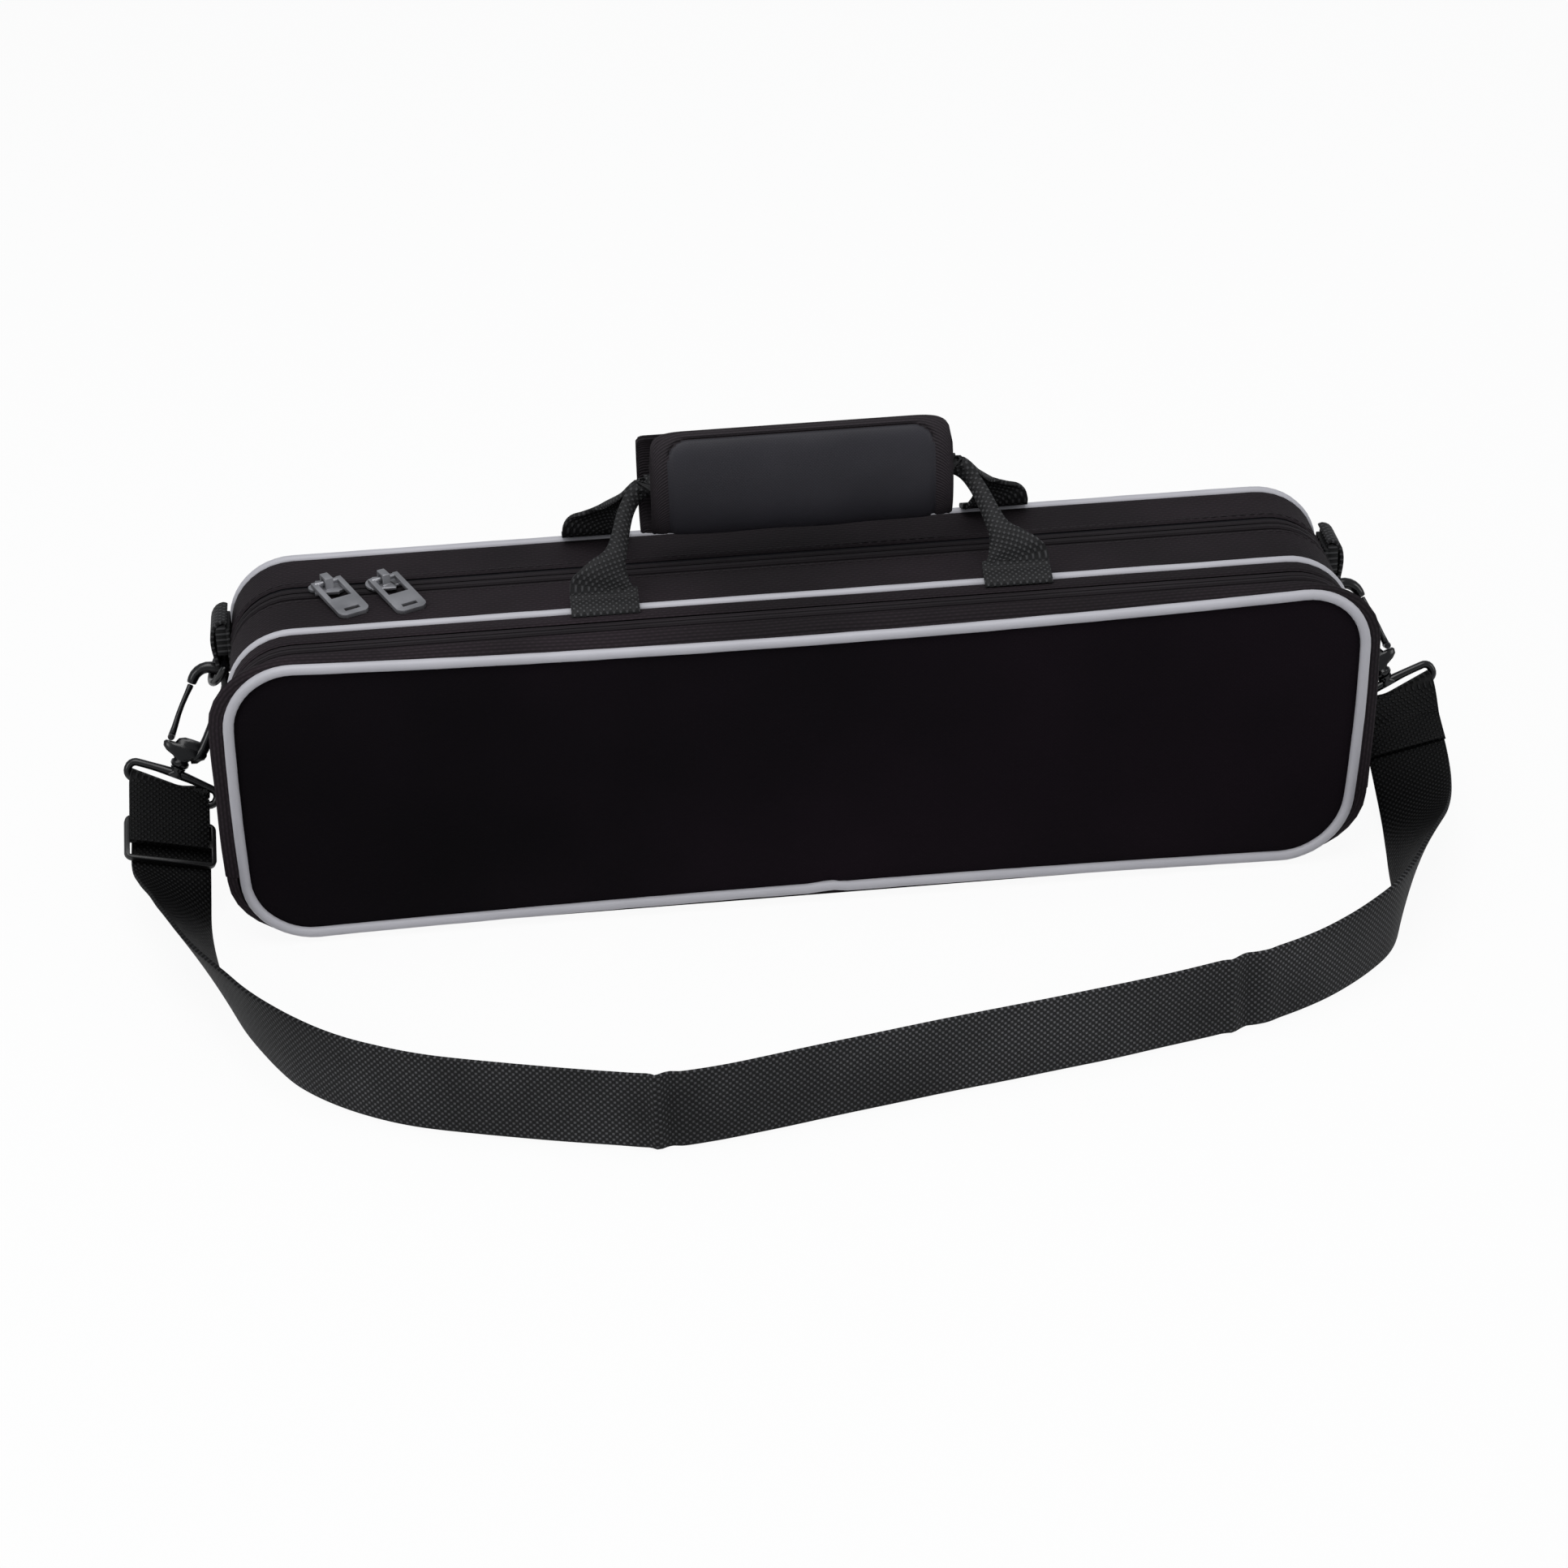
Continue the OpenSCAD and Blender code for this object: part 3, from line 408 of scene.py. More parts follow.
def emptied(owner):
    """The node tree of a material or a world, with nothing in it."""
    owner.use_nodes = True
    owner.node_tree.nodes.clear()
    return owner.node_tree


def surface(name, **sockets):
    """A new material with the numbers set on its own shader."""
    finish = bpy.data.materials.new(name)
    finish.use_nodes = True
    shader = finish.node_tree.nodes["Principled BSDF"]
    for socket, value in sockets.items():
        shader.inputs[socket.replace("_", " ")].default_value = value
    return finish, finish.node_tree, shader


def shade(colour, factor):
    return [min(c * factor, 1) for c in colour[:3]] + [1.0]


def threads(tree, source, across, along, crossed):
    """Height of a woven pattern, 0 to 1: ribs that many metres apart, or as far as crossed is 1, staggered
    dots that are twice as far apart in each row."""
    parts = add(tree, "SeparateXYZ", {0: source})
    waves = []
    for socket, pitch in (("X", across), ("Y", along)):
        turn = add(tree, "Math", {0: parts.outputs[socket], 1: math.pi / pitch}, operation="MULTIPLY")
        waves.append(add(tree, "Math", {0: turn.outputs[0]}, operation="SINE").outputs[0])
    dots = add(tree, "Math", {0: waves[0], 1: waves[1]}, operation="MULTIPLY")
    dots = add(tree, "MapRange", {"Value": dots.outputs[0], "From Min": -0.2, "From Max": 0.9},
               interpolation_type="SMOOTHSTEP")
    ribs = add(tree, "Math", {0: waves[0], 1: waves[0]}, operation="MULTIPLY")
    return add(tree, "Mix", {0: crossed, 2: ribs.outputs[0], 3: dots.outputs[0]}).outputs[0]


def painted_strap_shade(tree, place, length):
    """Painted light and shade along a strap's length: paler in the middle, painted dark at its ends, which
    hang in shade.
    """
    parts = add(tree, "SeparateXYZ", {0: place.outputs["UV"]})
    turn = add(tree, "Math", {0: parts.outputs["Y"], 1: math.pi / length}, operation="MULTIPLY")
    middle = add(tree, "Math", {0: turn.outputs[0]}, operation="SINE")
    return add(tree, "MapRange", {"Value": middle.outputs[0], "From Min": 0.35, "From Max": 0.8,
                                  "To Min": 0.12, "To Max": 1.0}, interpolation_type="SMOOTHSTEP")


def cloth(name, colour, weave, roughness, relief, contrast=(0.6, 1.3), wear=0.1, sheen=0.0, gloss=0.2,
          spots=9.0, tint=(1.0, 1.0, 1.0), painted_shade_length=None):
    """Woven cloth: threads at a pitch across and along, with slow patches of wear and of a warmer tint.
    The last argument, if given, is the length in metres of a strap, which is painted paler in its middle and
    painted dark at its ends, as shade."""
    finish, tree, shader = surface(name, Roughness=roughness, Sheen_Weight=sheen, Sheen_Roughness=0.5,
                                   Specular_IOR_Level=gloss)
    place = add(tree, "TexCoord")
    height = threads(tree, place.outputs["UV"], *weave)
    patch = add(tree, "TexNoise", {"Vector": place.outputs["Object"], "Scale": spots, "Detail": 4.0})
    fuzz = add(tree, "TexNoise", {"Vector": place.outputs["Object"], "Scale": 900.0, "Detail": 2.0})
    base = add(tree, "Mix", {0: height, 6: shade(colour, contrast[0]), 7: shade(colour, contrast[1])},
               data_type="RGBA")
    wear_and_shade = add(tree, "MapRange", {"Value": patch.outputs["Fac"], "From Min": 0.35, "From Max": 0.65,
                                  "To Min": 1 - wear, "To Max": 1 + wear})
    # painted shade: a strap is painted dark at its ends and paler in its middle, as light and shade fall on
    # it
    if painted_shade_length:
        middle = painted_strap_shade(tree, place, painted_shade_length)
        wear_and_shade = add(tree, "Math", {0: wear_and_shade.outputs[0], 1: middle.outputs[0]}, operation="MULTIPLY")
    shaded = add(tree, "Mix", {0: 1.0, 6: base.outputs[2], 7: wear_and_shade.outputs[0]}, data_type="RGBA",
                 blend_type="MULTIPLY")
    warm = add(tree, "Mix", {0: patch.outputs["Fac"], 6: [1.0, 1.0, 1.0, 1.0], 7: [*tint, 1.0]},
               data_type="RGBA")
    tinted = add(tree, "Mix", {0: 1.0, 6: shaded.outputs[2], 7: warm.outputs[2]}, data_type="RGBA",
                 blend_type="MULTIPLY")
    tree.links.new(tinted.outputs[2], shader.inputs["Base Color"])
    mixed = add(tree, "Math", {0: fuzz.outputs["Fac"], 1: 0.35, 2: height}, operation="MULTIPLY_ADD")
    bump = add(tree, "Bump", {"Height": mixed.outputs[0], "Strength": relief, "Distance": 0.0004})
    tree.links.new(bump.outputs[0], shader.inputs["Normal"])
    return finish


def cast(name, colour, roughness, metallic=0.0, grain=60.0):
    """Cast or plated metal, or moulded plastic: slow changes of polish, fine scratches."""
    finish, tree, shader = surface(name, Metallic=metallic)
    place = add(tree, "TexCoord")
    cloud = add(tree, "TexNoise", {"Vector": place.outputs["Object"], "Scale": grain, "Detail": 5.0})
    fine = add(tree, "TexNoise", {"Vector": place.outputs["Object"], "Scale": 1500.0, "Detail": 3.0})
    polish = add(tree, "MapRange", {"Value": cloud.outputs["Fac"], "From Min": 0.3, "From Max": 0.7,
                                    "To Min": max(roughness - 0.08, 0.05), "To Max": roughness + 0.12})
    tree.links.new(polish.outputs[0], shader.inputs["Roughness"])
    tint = add(tree, "MapRange", {"Value": cloud.outputs["Fac"], "From Min": 0.35, "From Max": 0.65,
                                  "To Min": 0.8, "To Max": 1.15})
    tinted = add(tree, "Mix", {0: 1.0, 6: colour, 7: tint.outputs[0]}, data_type="RGBA",
                 blend_type="MULTIPLY")
    tree.links.new(tinted.outputs[2], shader.inputs["Base Color"])
    bump = add(tree, "Bump", {"Height": fine.outputs["Fac"], "Strength": 0.08, "Distance": 0.0002})
    tree.links.new(bump.outputs[0], shader.inputs["Normal"])
    return finish


# How each finish is made, its colour, how many times lighter than that it is, and its settings. A weave is
# (metres between ribs, metres between the threads that cross them, how far it is dots and not ribs).
FINISHES = {
    # 600 denier polyester: half-millimetre threads drawn 1.5 mm apart, so that the ribs still show
    "woven_polyester": (cloth, "cover", 1, dict(
        weave=(0.0015, 0.0015, 0.35), roughness=0.8, relief=0.6, contrast=(0.55, 1.3), wear=0.28, gloss=0.15,
        spots=12.0, tint=(1.15, 0.95, 1.05))),
    # smooth dense cloth over thin foam: almost no weave, slow warm and cold patches
    "brushed_polyester": (cloth, "panel", 1, dict(
        weave=(0.0008, 0.0008, 0.8), roughness=0.9, relief=0.12, contrast=(0.9, 1.1), wear=0.45, gloss=0.08,
        spots=5.0, tint=(1.7, 0.9, 1.1))),
    # satin-covered cord: pale, with a soft lengthwise gleam
    "satin_piping": (cloth, "piping", 1, dict(
        weave=(0.0004, 0.0008, 0.3), roughness=0.42, relief=0.05, contrast=(0.97, 1.03), wear=0.05, sheen=0.1,
        gloss=0.4, spots=25.0)),
    # zip tape: fine ribs along the zip
    "ribbed_tape": (cloth, "cover", 1, dict(
        weave=(0.0012, 0.0012, 0.1), roughness=0.75, relief=0.5, wear=0.2, gloss=0.15, spots=15.0)),
    # polypropylene webbing: bright dots 2.4 mm apart in staggered rows, which are painted highlights on its
    # threads; painted paler in the middle and painted dark at its ends as shade
    "polypropylene_strap": (cloth, "webbing", 1.3, dict(
        weave=(0.0012, 0.0012, 1.0), roughness=0.55, relief=1.0, contrast=(0.35, 3.1), wear=0.4, gloss=0.12,
        spots=14.0, painted_shade_length=STRAP_LENGTH * MM)),
    # the same webbing, less worn, whose bright dots are the same painted highlights
    "polypropylene_handle": (cloth, "webbing", 1, dict(
        weave=(0.0012, 0.0012, 1.0), roughness=0.6, relief=1.0, contrast=(0.5, 2.3), wear=0.2, spots=20.0)),
    # coated cloth of the grip: slightly shiny, fine grain
    "coated_cloth": (cloth, "grip", 1, dict(
        weave=(0.0006, 0.0006, 0.8), roughness=0.5, relief=0.1, contrast=(0.9, 1.1), wear=0.12, spots=25.0)),
    # grosgrain binding round the grip's edges: ribs across the ribbon
    "grosgrain": (cloth, "cover", 1.5, dict(
        weave=(0.0012, 0.0012, 0.2), roughness=0.75, relief=0.6, contrast=(0.6, 1.35))),
    # polyester sewing thread
    "thread": (cloth, "cover", 1.7, dict(weave=(0.0003, 0.0006, 0.5), roughness=0.6, relief=0.3)),
    # plush lining: short pile with a soft sheen
    "plush_pile": (cloth, "lining", 1, dict(
        weave=(0.0013, 0.0017, 0.9), roughness=0.95, relief=0.6, contrast=(0.7, 1.3), wear=0.25, sheen=0.3,
        gloss=0.1, spots=40.0)),
    # felted cloth glued over the foam board
    "board_cloth": (cloth, "#1d1d22", 1, dict(
        weave=(0.0021, 0.0023, 0.9), roughness=0.9, relief=0.5, contrast=(0.8, 1.2), wear=0.2)),
    # hook and loop tape: stiff pile in rows
    "hook_and_loop_pile": (cloth, "#161618", 1, dict(
        weave=(0.0011, 0.0011, 1.0), roughness=0.8, relief=1.0, contrast=(0.5, 1.6))),
    # nylon coil, dyed as dark as its tape
    "nylon_coil": (cast, "#1c1a1c", 1, dict(roughness=0.5, grain=200.0)),
    # zinc casting with dark nickel plating
    "plated_zinc": (cast, "metal", 1, dict(roughness=0.34, metallic=0.75)),
    # zinc casting and steel wire with black enamel
    "black_enamel": (cast, "hardware", 1, dict(roughness=0.2)),
    # moulded acetal
    "moulded_acetal": (cast, "#0d0d0e", 1, dict(roughness=0.35)),
}


def finish_named(name):
    """One of the case's finishes, made when it is first asked for."""
    made = bpy.data.materials.get(name)
    if made:
        return made
    make, colour, lighter, settings = FINISHES[name]
    colours = bpy.context.scene.flute_case_colours
    base = linear(colour) if colour.startswith("#") else getattr(colours, colour)
    return make(name, shade(base, lighter), **settings)


# ---- the case's own shapes ---------------------------------------------------------------------

def pinch(x, z):
    """The pocket's soft edge sags between its corners, swells out at its ends and leans at the right one."""
    u, w = x / (LOOP_W / 2), (z - LOOP_Z) / (LOOP_H / 2)
    lift = -4.5 * w if w > 0 else -2.5 * w
    share = min(max((u - 0.5) / 0.4, 0), 1)
    lean = (3.0 * w - 1.0) * share * share * (3 - 2 * share)
    return x + 1.5 * u * max(0, 1 - w * w) + lean, z + lift * max(0, 1 - u * u)


def rounded_run(width, low, high, radius, start=None, step=6.0, corner_steps=9):
    """Points and outward directions round a rounded rectangle, from the middle of its base and back,
    or from a height at the right end over the top to the left end."""
    a, b = width / 2 - radius, width / 2
    foot = low + radius if start is None else start
    run = []

    def line(p, q, out):
        n = max(1, round(math.dist(p, q) / step))
        for k in range(n):
            run.append((p[0] + (q[0] - p[0]) * k / n, p[1] + (q[1] - p[1]) * k / n, out))

    def turn(cx, cz, from_angle):
        for k in range(corner_steps):
            angle = math.radians(from_angle + 90 * k / corner_steps)
            out = (math.cos(angle), math.sin(angle))
            run.append((cx + radius * out[0], cz + radius * out[1], out))

    if start is None:
        line((0, low), (a, low), (0, -1))
        turn(a, foot, -90)
    line((b, foot), (b, high - radius), (1, 0))
    turn(a, high - radius, 0)
    line((a, high), (-a, high), (0, 1))
    turn(-a, high - radius, 90)
    line((-b, high - radius), (-b, foot), (-1, 0))
    if start is None:
        turn(-a, foot, 180)
        line((-a, low), (0, low), (0, -1))
        run.append((0, low, (0, -1)))
    else:
        run.append((-b, foot, (-1, 0)))
    return run


def wall_run(start=None, step=6.0, corner_steps=9):
    """The run of the case's own walls."""
    return rounded_run(LENGTH, 0, HEIGHT, CORNER, start, step, corner_steps)


def drawn_in(spot, y, distance):
    """A place on a run, at a depth and drawn in by a distance."""
    x, z, out = spot
    return Vector((x - out[0] * distance, y, z - out[1] * distance))


def threads_run(y, distance, *settings):
    """Pairs of a place and its outward direction along the walls, at one depth."""
    return [(drawn_in(spot, y, distance), Vector((spot[2][0], 0, spot[2][1])))
            for spot in wall_run(*settings)]


def base_run(top):
    """The part of the walls' run below a height: down the left end, along the base, up the right end."""
    run = wall_run()
    half, out = len(run) // 2, []
    run = run[half:-1] + run[:half]
    for p, q in zip(run, run[1:]):
        if p[1] <= top:
            out.append(p)
        if (p[1] - top) * (q[1] - top) < 0:
            share = (top - p[1]) / (q[1] - p[1])
            away = Vector(p[2]).lerp(Vector(q[2]), share).normalized()
            out.append((p[0] + (q[0] - p[0]) * share, top, (away.x, away.y)))
    return out


def soft(x, y, z, amount, scale=0.02):
    """Slow, shallow unevenness of cloth over board."""
    return amount * noise.noise(Vector((x * scale, y * scale * 2.5, z * scale)))


def walls(name, profile, start=None, thick=1.0, ripple=0.5):
    """Cloth round the case: profile is a run of (y, distance drawn in), from front to back. Its edges and
    its base don't ripple."""
    rows = []
    for x, z, out in wall_run(start):
        row = []
        for k, (y, drawn) in enumerate(profile):
            free = math.sin(math.pi * k / (len(profile) - 1))
            swell = soft(x, y, z, ripple) * free if z > 3 else 0
            row.append(drawn_in((x, z, out), y, drawn - swell))
        rows.append(row)
    return laid_grid(name, rows, thick=thick, side=Vector((0, 0, 1)))


def spread_profile(y0, y1, edge0, edge1, count=10):
    """Section of a strip of cloth: flat, with edges that are drawn in over their last millimetre."""
    ys = [y0, y0 + 0.35, y0 + 0.9] + [y0 + 0.9 + (y1 - y0 - 1.8) * k / count for k in range(1, count)] \
        + [y1 - 0.9, y1 - 0.35, y1]
    drop = {0: edge0, 1: edge0 * 0.35, len(ys) - 2: edge1 * 0.35, len(ys) - 1: edge1}
    return [(y, drop.get(k, 0)) for k, y in enumerate(ys)]


def flat_panel(name, place, outward, thick, columns, corner_rows, middle_rows):
    """Cloth over the rounded rectangle inside a loop; place turns (x, z, distance from its edge) into a
    point. Its UV map lies flat, so that ribs run lengthwise."""
    width, low, high, radius = PANEL
    corners = [(radius * (1 - math.cos(math.pi / 2 * k / corner_rows)),
                radius * (1 - math.sin(math.pi / 2 * k / corner_rows))) for k in range(corner_rows)]
    straight = high - low - 2 * radius
    levels = [(low + up, drawn) for up, drawn in corners]
    levels += [(low + radius + straight * k / middle_rows, 0) for k in range(middle_rows + 1)]
    levels += [(high - up, drawn) for up, drawn in reversed(corners)]
    rows = []
    for z, drawn in levels:
        half = width / 2 - drawn
        # columns stand closer together towards the ends
        xs = [half * (math.sin(s * math.pi / 2) * 0.25 + s * 0.75) for s in spread(columns)]
        rows.append([place(x, z, rim_distance(x, z)) for x in xs])
    panel = laid_grid(name, rows, thick=thick, side=Vector((0, outward, 0)))
    for corner, loop in zip(panel.data.uv_layers.active.data, panel.data.loops):
        co = panel.data.vertices[loop.vertex_index].co
        corner.uv = (co.z, co.x)
    return panel


def rim_distance(x, z):
    """Distance inwards from the panels' edge."""
    width, low, high, radius = PANEL
    dx, dz = abs(x) - (width / 2 - radius), abs(z - (low + high) / 2) - ((high - low) / 2 - radius)
    if dx > 0 and dz > 0:
        return radius - math.hypot(dx, dz)
    return radius - max(dx, dz)


# ---- operators ---------------------------------------------------------------------------------

class FLUTECASE_OT_stage(Operator):
    """White floor, soft studio light and the camera at the photograph's angle"""
    bl_idname = "flutecase.stage"
    bl_label = "Stage"

    def execute(self, context):
        context.scene.view_settings.view_transform = "Standard"
        self.add_camera(context)
        self.add_floor(context)
        self.add_world(context)
        for name, place, size, power in (("top_light", (-0.2, -0.3, 1.5), 1.2, 13.0),
                                         ("left_light", (-1.3, -0.9, 0.9), 0.7, 5.0),
                                         ("right_light", (1.4, -0.6, 0.8), 0.7, 4.0)):
            bpy.ops.object.light_add(type="AREA", location=place)
            lamp = context.object
            lamp.name = name
            lamp.data.size, lamp.data.energy = size, power
            lamp.rotation_euler = (-Vector(place)).to_track_quat("-Z", "Y").to_euler()
        return {"FINISHED"}

    def add_camera(self, context):
        azimuth, elevation, roll, distance = math.radians(-5), math.radians(30), math.radians(-1.9), 1.5
        back = Vector((math.sin(azimuth) * math.cos(elevation), -math.cos(azimuth) * math.cos(elevation),
                       math.sin(elevation)))
        aim = Vector((-4.05, 0, 25.5)) * MM
        bpy.ops.object.camera_add(location=aim + back * distance)
        camera = context.object
        camera.rotation_mode = "QUATERNION"
        camera.rotation_quaternion = (-back).to_track_quat("-Z", "Y") @ Quaternion((0, 0, 1), roll)
        camera.data.lens, camera.data.sensor_width = 90.2, 36
        camera.data.clip_start, camera.data.clip_end = 0.05, 20
        context.scene.camera = camera

    def add_floor(self, context):
        only(None)
        bpy.ops.mesh.primitive_plane_add(size=9, location=(0, 0, -0.0012))
        floor = context.object
        floor.name = "floor"
        # seen directly or in gloss it is white card that is partly see-through, with a faint shadow
        finish = bpy.data.materials.new("white_card")
        tree = emptied(finish)
        path = add(tree, "LightPath")
        seen = add(tree, "Math", {0: path.outputs["Is Camera Ray"], 1: path.outputs["Is Glossy Ray"]},
                   operation="ADD")
        seen = add(tree, "Math", {0: seen.outputs[0], 1: path.outputs["Is Transmission Ray"]},
                   operation="ADD", use_clamp=True)
        card = add(tree, "BsdfDiffuse", {"Color": (0.8, 0.8, 0.8, 1)})
        glow = add(tree, "Emission", {"Color": (1, 1, 1, 1), "Strength": 1.0})
        shown = add(tree, "MixShader", {0: 0.12, 1: glow.outputs[0], 2: card.outputs[0]})
        clear = add(tree, "BsdfTransparent")
        veil = add(tree, "MixShader", {0: 0.45, 1: shown.outputs[0], 2: clear.outputs[0]})
        both = add(tree, "MixShader", {0: seen.outputs[0], 1: card.outputs[0], 2: veil.outputs[0]})
        add(tree, "OutputMaterial", {"Surface": both.outputs[0]})
        floor.data.materials.append(finish)

    def add_world(self, context):
        context.scene.world = bpy.data.worlds.new("studio")
        tree = emptied(context.scene.world)
        path = add(tree, "LightPath")
        seen = add(tree, "Math", {0: path.outputs["Is Camera Ray"], 1: path.outputs["Is Transmission Ray"]},
                   operation="ADD", use_clamp=True)
        white = add(tree, "Background", {"Color": (1, 1, 1, 1), "Strength": 1.0})
        plain = add(tree, "Background", {"Color": (0.93, 0.96, 1, 1), "Strength": 0.4})
        mix = add(tree, "MixShader", {0: seen.outputs[0], 1: plain.outputs[0], 2: white.outputs[0]})
        add(tree, "OutputWorld", {"Surface": mix.outputs[0]})


class FLUTECASE_OT_strap(Operator):
    """Shoulder strap from webbing bar to webbing bar, its folded ends and its slider buckle"""
    bl_idname = "flutecase.strap"
    bl_label = "Shoulder strap"

    def execute(self, context):
        sizes = context.scene.flute_case_sizes
        width, thick = sizes.strap_width / MM, sizes.strap_thickness / MM
        first, final = (on_side(WEB_BAR, side) - WEB_UP * FOLD_R for side in (-1, 1))
        steps = 12
        run = smoothed([(*first, 18), *STRAP_ROUTE, (*final, 18)], steps)
        centre = [Vector(q[:3]) for q in run]
        rows, last = [], len(centre) - 1
        for i, p in enumerate(centre):
            along = heading(centre, i)
            out = along.cross(Vector((0, 0, 1))).normalized()
            turn = math.radians(run[i][3])
            across = out * math.cos(turn) + out.cross(along) * math.sin(turn)
            if i in (0, last):
                across = on_side(BAR_OUT, 1 if i else -1)
            across = squared(across, along)
            face = along.cross(across)
            # creases where the strap was folded for packing, and a slow wave that dies out at its ends
            free = min(1, i / (4 * steps), (last - i) / (4 * steps))
            crease = sum(depth * math.exp(-((p.x - at) / reach) ** 2) for at, depth, reach in CREASES) \
                if p.y < -120 else 0
            row = []
            for s in spread(8):
                bow = free * (0.5 * noise.noise(p * 0.03 + across * s * 0.5) + crease * (1 - 0.3 * s * s))
                row.append(p + across * (s * width / 2) + face * bow)
            rows.append(row)
        strap = laid_grid("shoulder_strap", rows, thick=thick, rounding=0.35)
        dress(strap, "polypropylene_strap", "case_back", ["strap"], 60)
        length = travel(centre)[-1] * MM
        folds = [self.fold(end, side, back_over, width, thick) for end, side, back_over in (
            ("left", -1, [(6, FOLD_R), (13, 2.7), (19, 2.3), (23, 2.3), (27, 2.3)]),
            ("right", 1, [(4, FOLD_R - 1.2), (8, 0.1), (12, -1.0), (24, -1.0)]))]
        glide = softened("tri_glide", "slider_buckle", 0.5)
        dress(glide, "moulded_acetal", "case_back", ["tri_glide"])
        return {"FINISHED"}

    def fold(self, end, side, back_over, width, thick):
        """The strap's end round its bar and back over itself, at distances along and above the bar."""
        bar, out = on_side(WEB_BAR, side), on_side(BAR_OUT, side)
        plan = smoothed(arc(0, 0, FOLD_R, FOLD_R, [270 - 22.5 * k for k in range(9)]) + back_over, 3)
        path = [bar + WEB_DIR * a + WEB_UP * b for a, b in plan]
        rows = []
        for i, p in enumerate(path):
            across = squared(out, heading(path, i))
            rows.append([p + across * (s * width / 2) for s in spread(6)])
        fold = laid_grid("strap_end_" + end, rows, thick=thick - 0.1, rounding=0.35)
        return dress(fold, "polypropylene_strap", "case_back",
                     ["strap_fold_" + end], 60)


class FLUTECASE_OT_covers(Operator):
    """Woven cloth round the two halves of the body, and the flat cloth of the back"""
    bl_idname = "flutecase.covers"
    bl_label = "Covers"

    def execute(self, context):
        wall = walls("back_wall_cloth", spread_profile(19.5, 41.4, 0.5, 0.9))
        panel = flat_panel("back_panel_cloth", self.back_place, 1, 1.0, 70, 5, 10)
        back = joined("back_cover_cloth", wall, panel)
        dress(back, "woven_polyester", "case_back", ["back_cover"])
        front = walls("front_cover_cloth", spread_profile(-15.3, 8.5, 0.9, 0.5))
        dress(front, "woven_polyester", "lid", ["front_cover"])
        # the hinge strip is the part of the walls below the zip's ends
        rows = [[drawn_in(spot, y, d) for y, d in spread_profile(8.8, 19.5, 0.3, 0.3, 4)]
                for spot in base_run(ZIP_END - 0.1)]
        hinge = laid_grid("hinge_cloth", rows, thick=1.0, side=Vector((0, 0, -1)))
        dress(hinge, "woven_polyester", ("case_back", "lid", Vector((0, 19.2, 0)), Vector((0, 9.0, 0))),
              ["hinge_strip"])
        for name, y, body in (("back_hem_stitches", 21.6, "case_back"), ("front_hem_stitches", 6.4, "lid")):
            hem = threaded(name, threads_run(y, -0.12, ZIP_END), 3.6, (2.8, 0.55, 0.55), 8)
            dress(hem, "thread", body)
        return {"FINISHED"}

    def back_place(self, x, z, d):
        """The back swells over its board and is drawn in at the seam."""
        swell = 1.6 * (1 - math.exp(-d / 9)) - 0.6 * math.exp(-d / 1.2) + soft(x, 44, z, 0.5) * min(1, d / 20)
        return Vector((x, BACK_LOOP_Y + 0.4 + swell, z))


class FLUTECASE_OT_piping(Operator):
    """The three loops of pale piping"""
    bl_idname = "flutecase.piping"
    bl_label = "Piping"

    def execute(self, context):
        radius = context.scene.flute_case_sizes.piping / MM / 2
        low, high = LOOP_Z - LOOP_H / 2, LOOP_Z + LOOP_H / 2
        for end, y, body in (("front", FRONT_LOOP_Y, "pocket_flap"), ("middle", MIDDLE_LOOP_Y, "lid"),
                             ("back", BACK_LOOP_Y, "case_back")):
            points = []
            for x, z, out in rounded_run(LOOP_W, low, high, LOOP_R, step=5, corner_steps=12)[:-1]:
                px, pz = pinch(x, z) if end == "front" else (x, z)
                if end == "front" and z < LOOP_Z:
                    pz += 0.9 * math.exp(-((x - PUCKER_X) / 4) ** 2)
                points.append(Vector((px + soft(x, y, z, 0.25, 0.05), y + soft(z, y, x, 0.2, 0.05), pz)))
            radii = [radius * (1 + 0.04 * noise.noise(p * 0.2)) - 0.05 for p in points]
            cord = tube(end + "_piping_cord", points, radii, 16, closed=True, flat=Vector((0, 1, 0)))
            dress(cord, "satin_piping", body, [end + "_piping"], 80)
        return {"FINISHED"}


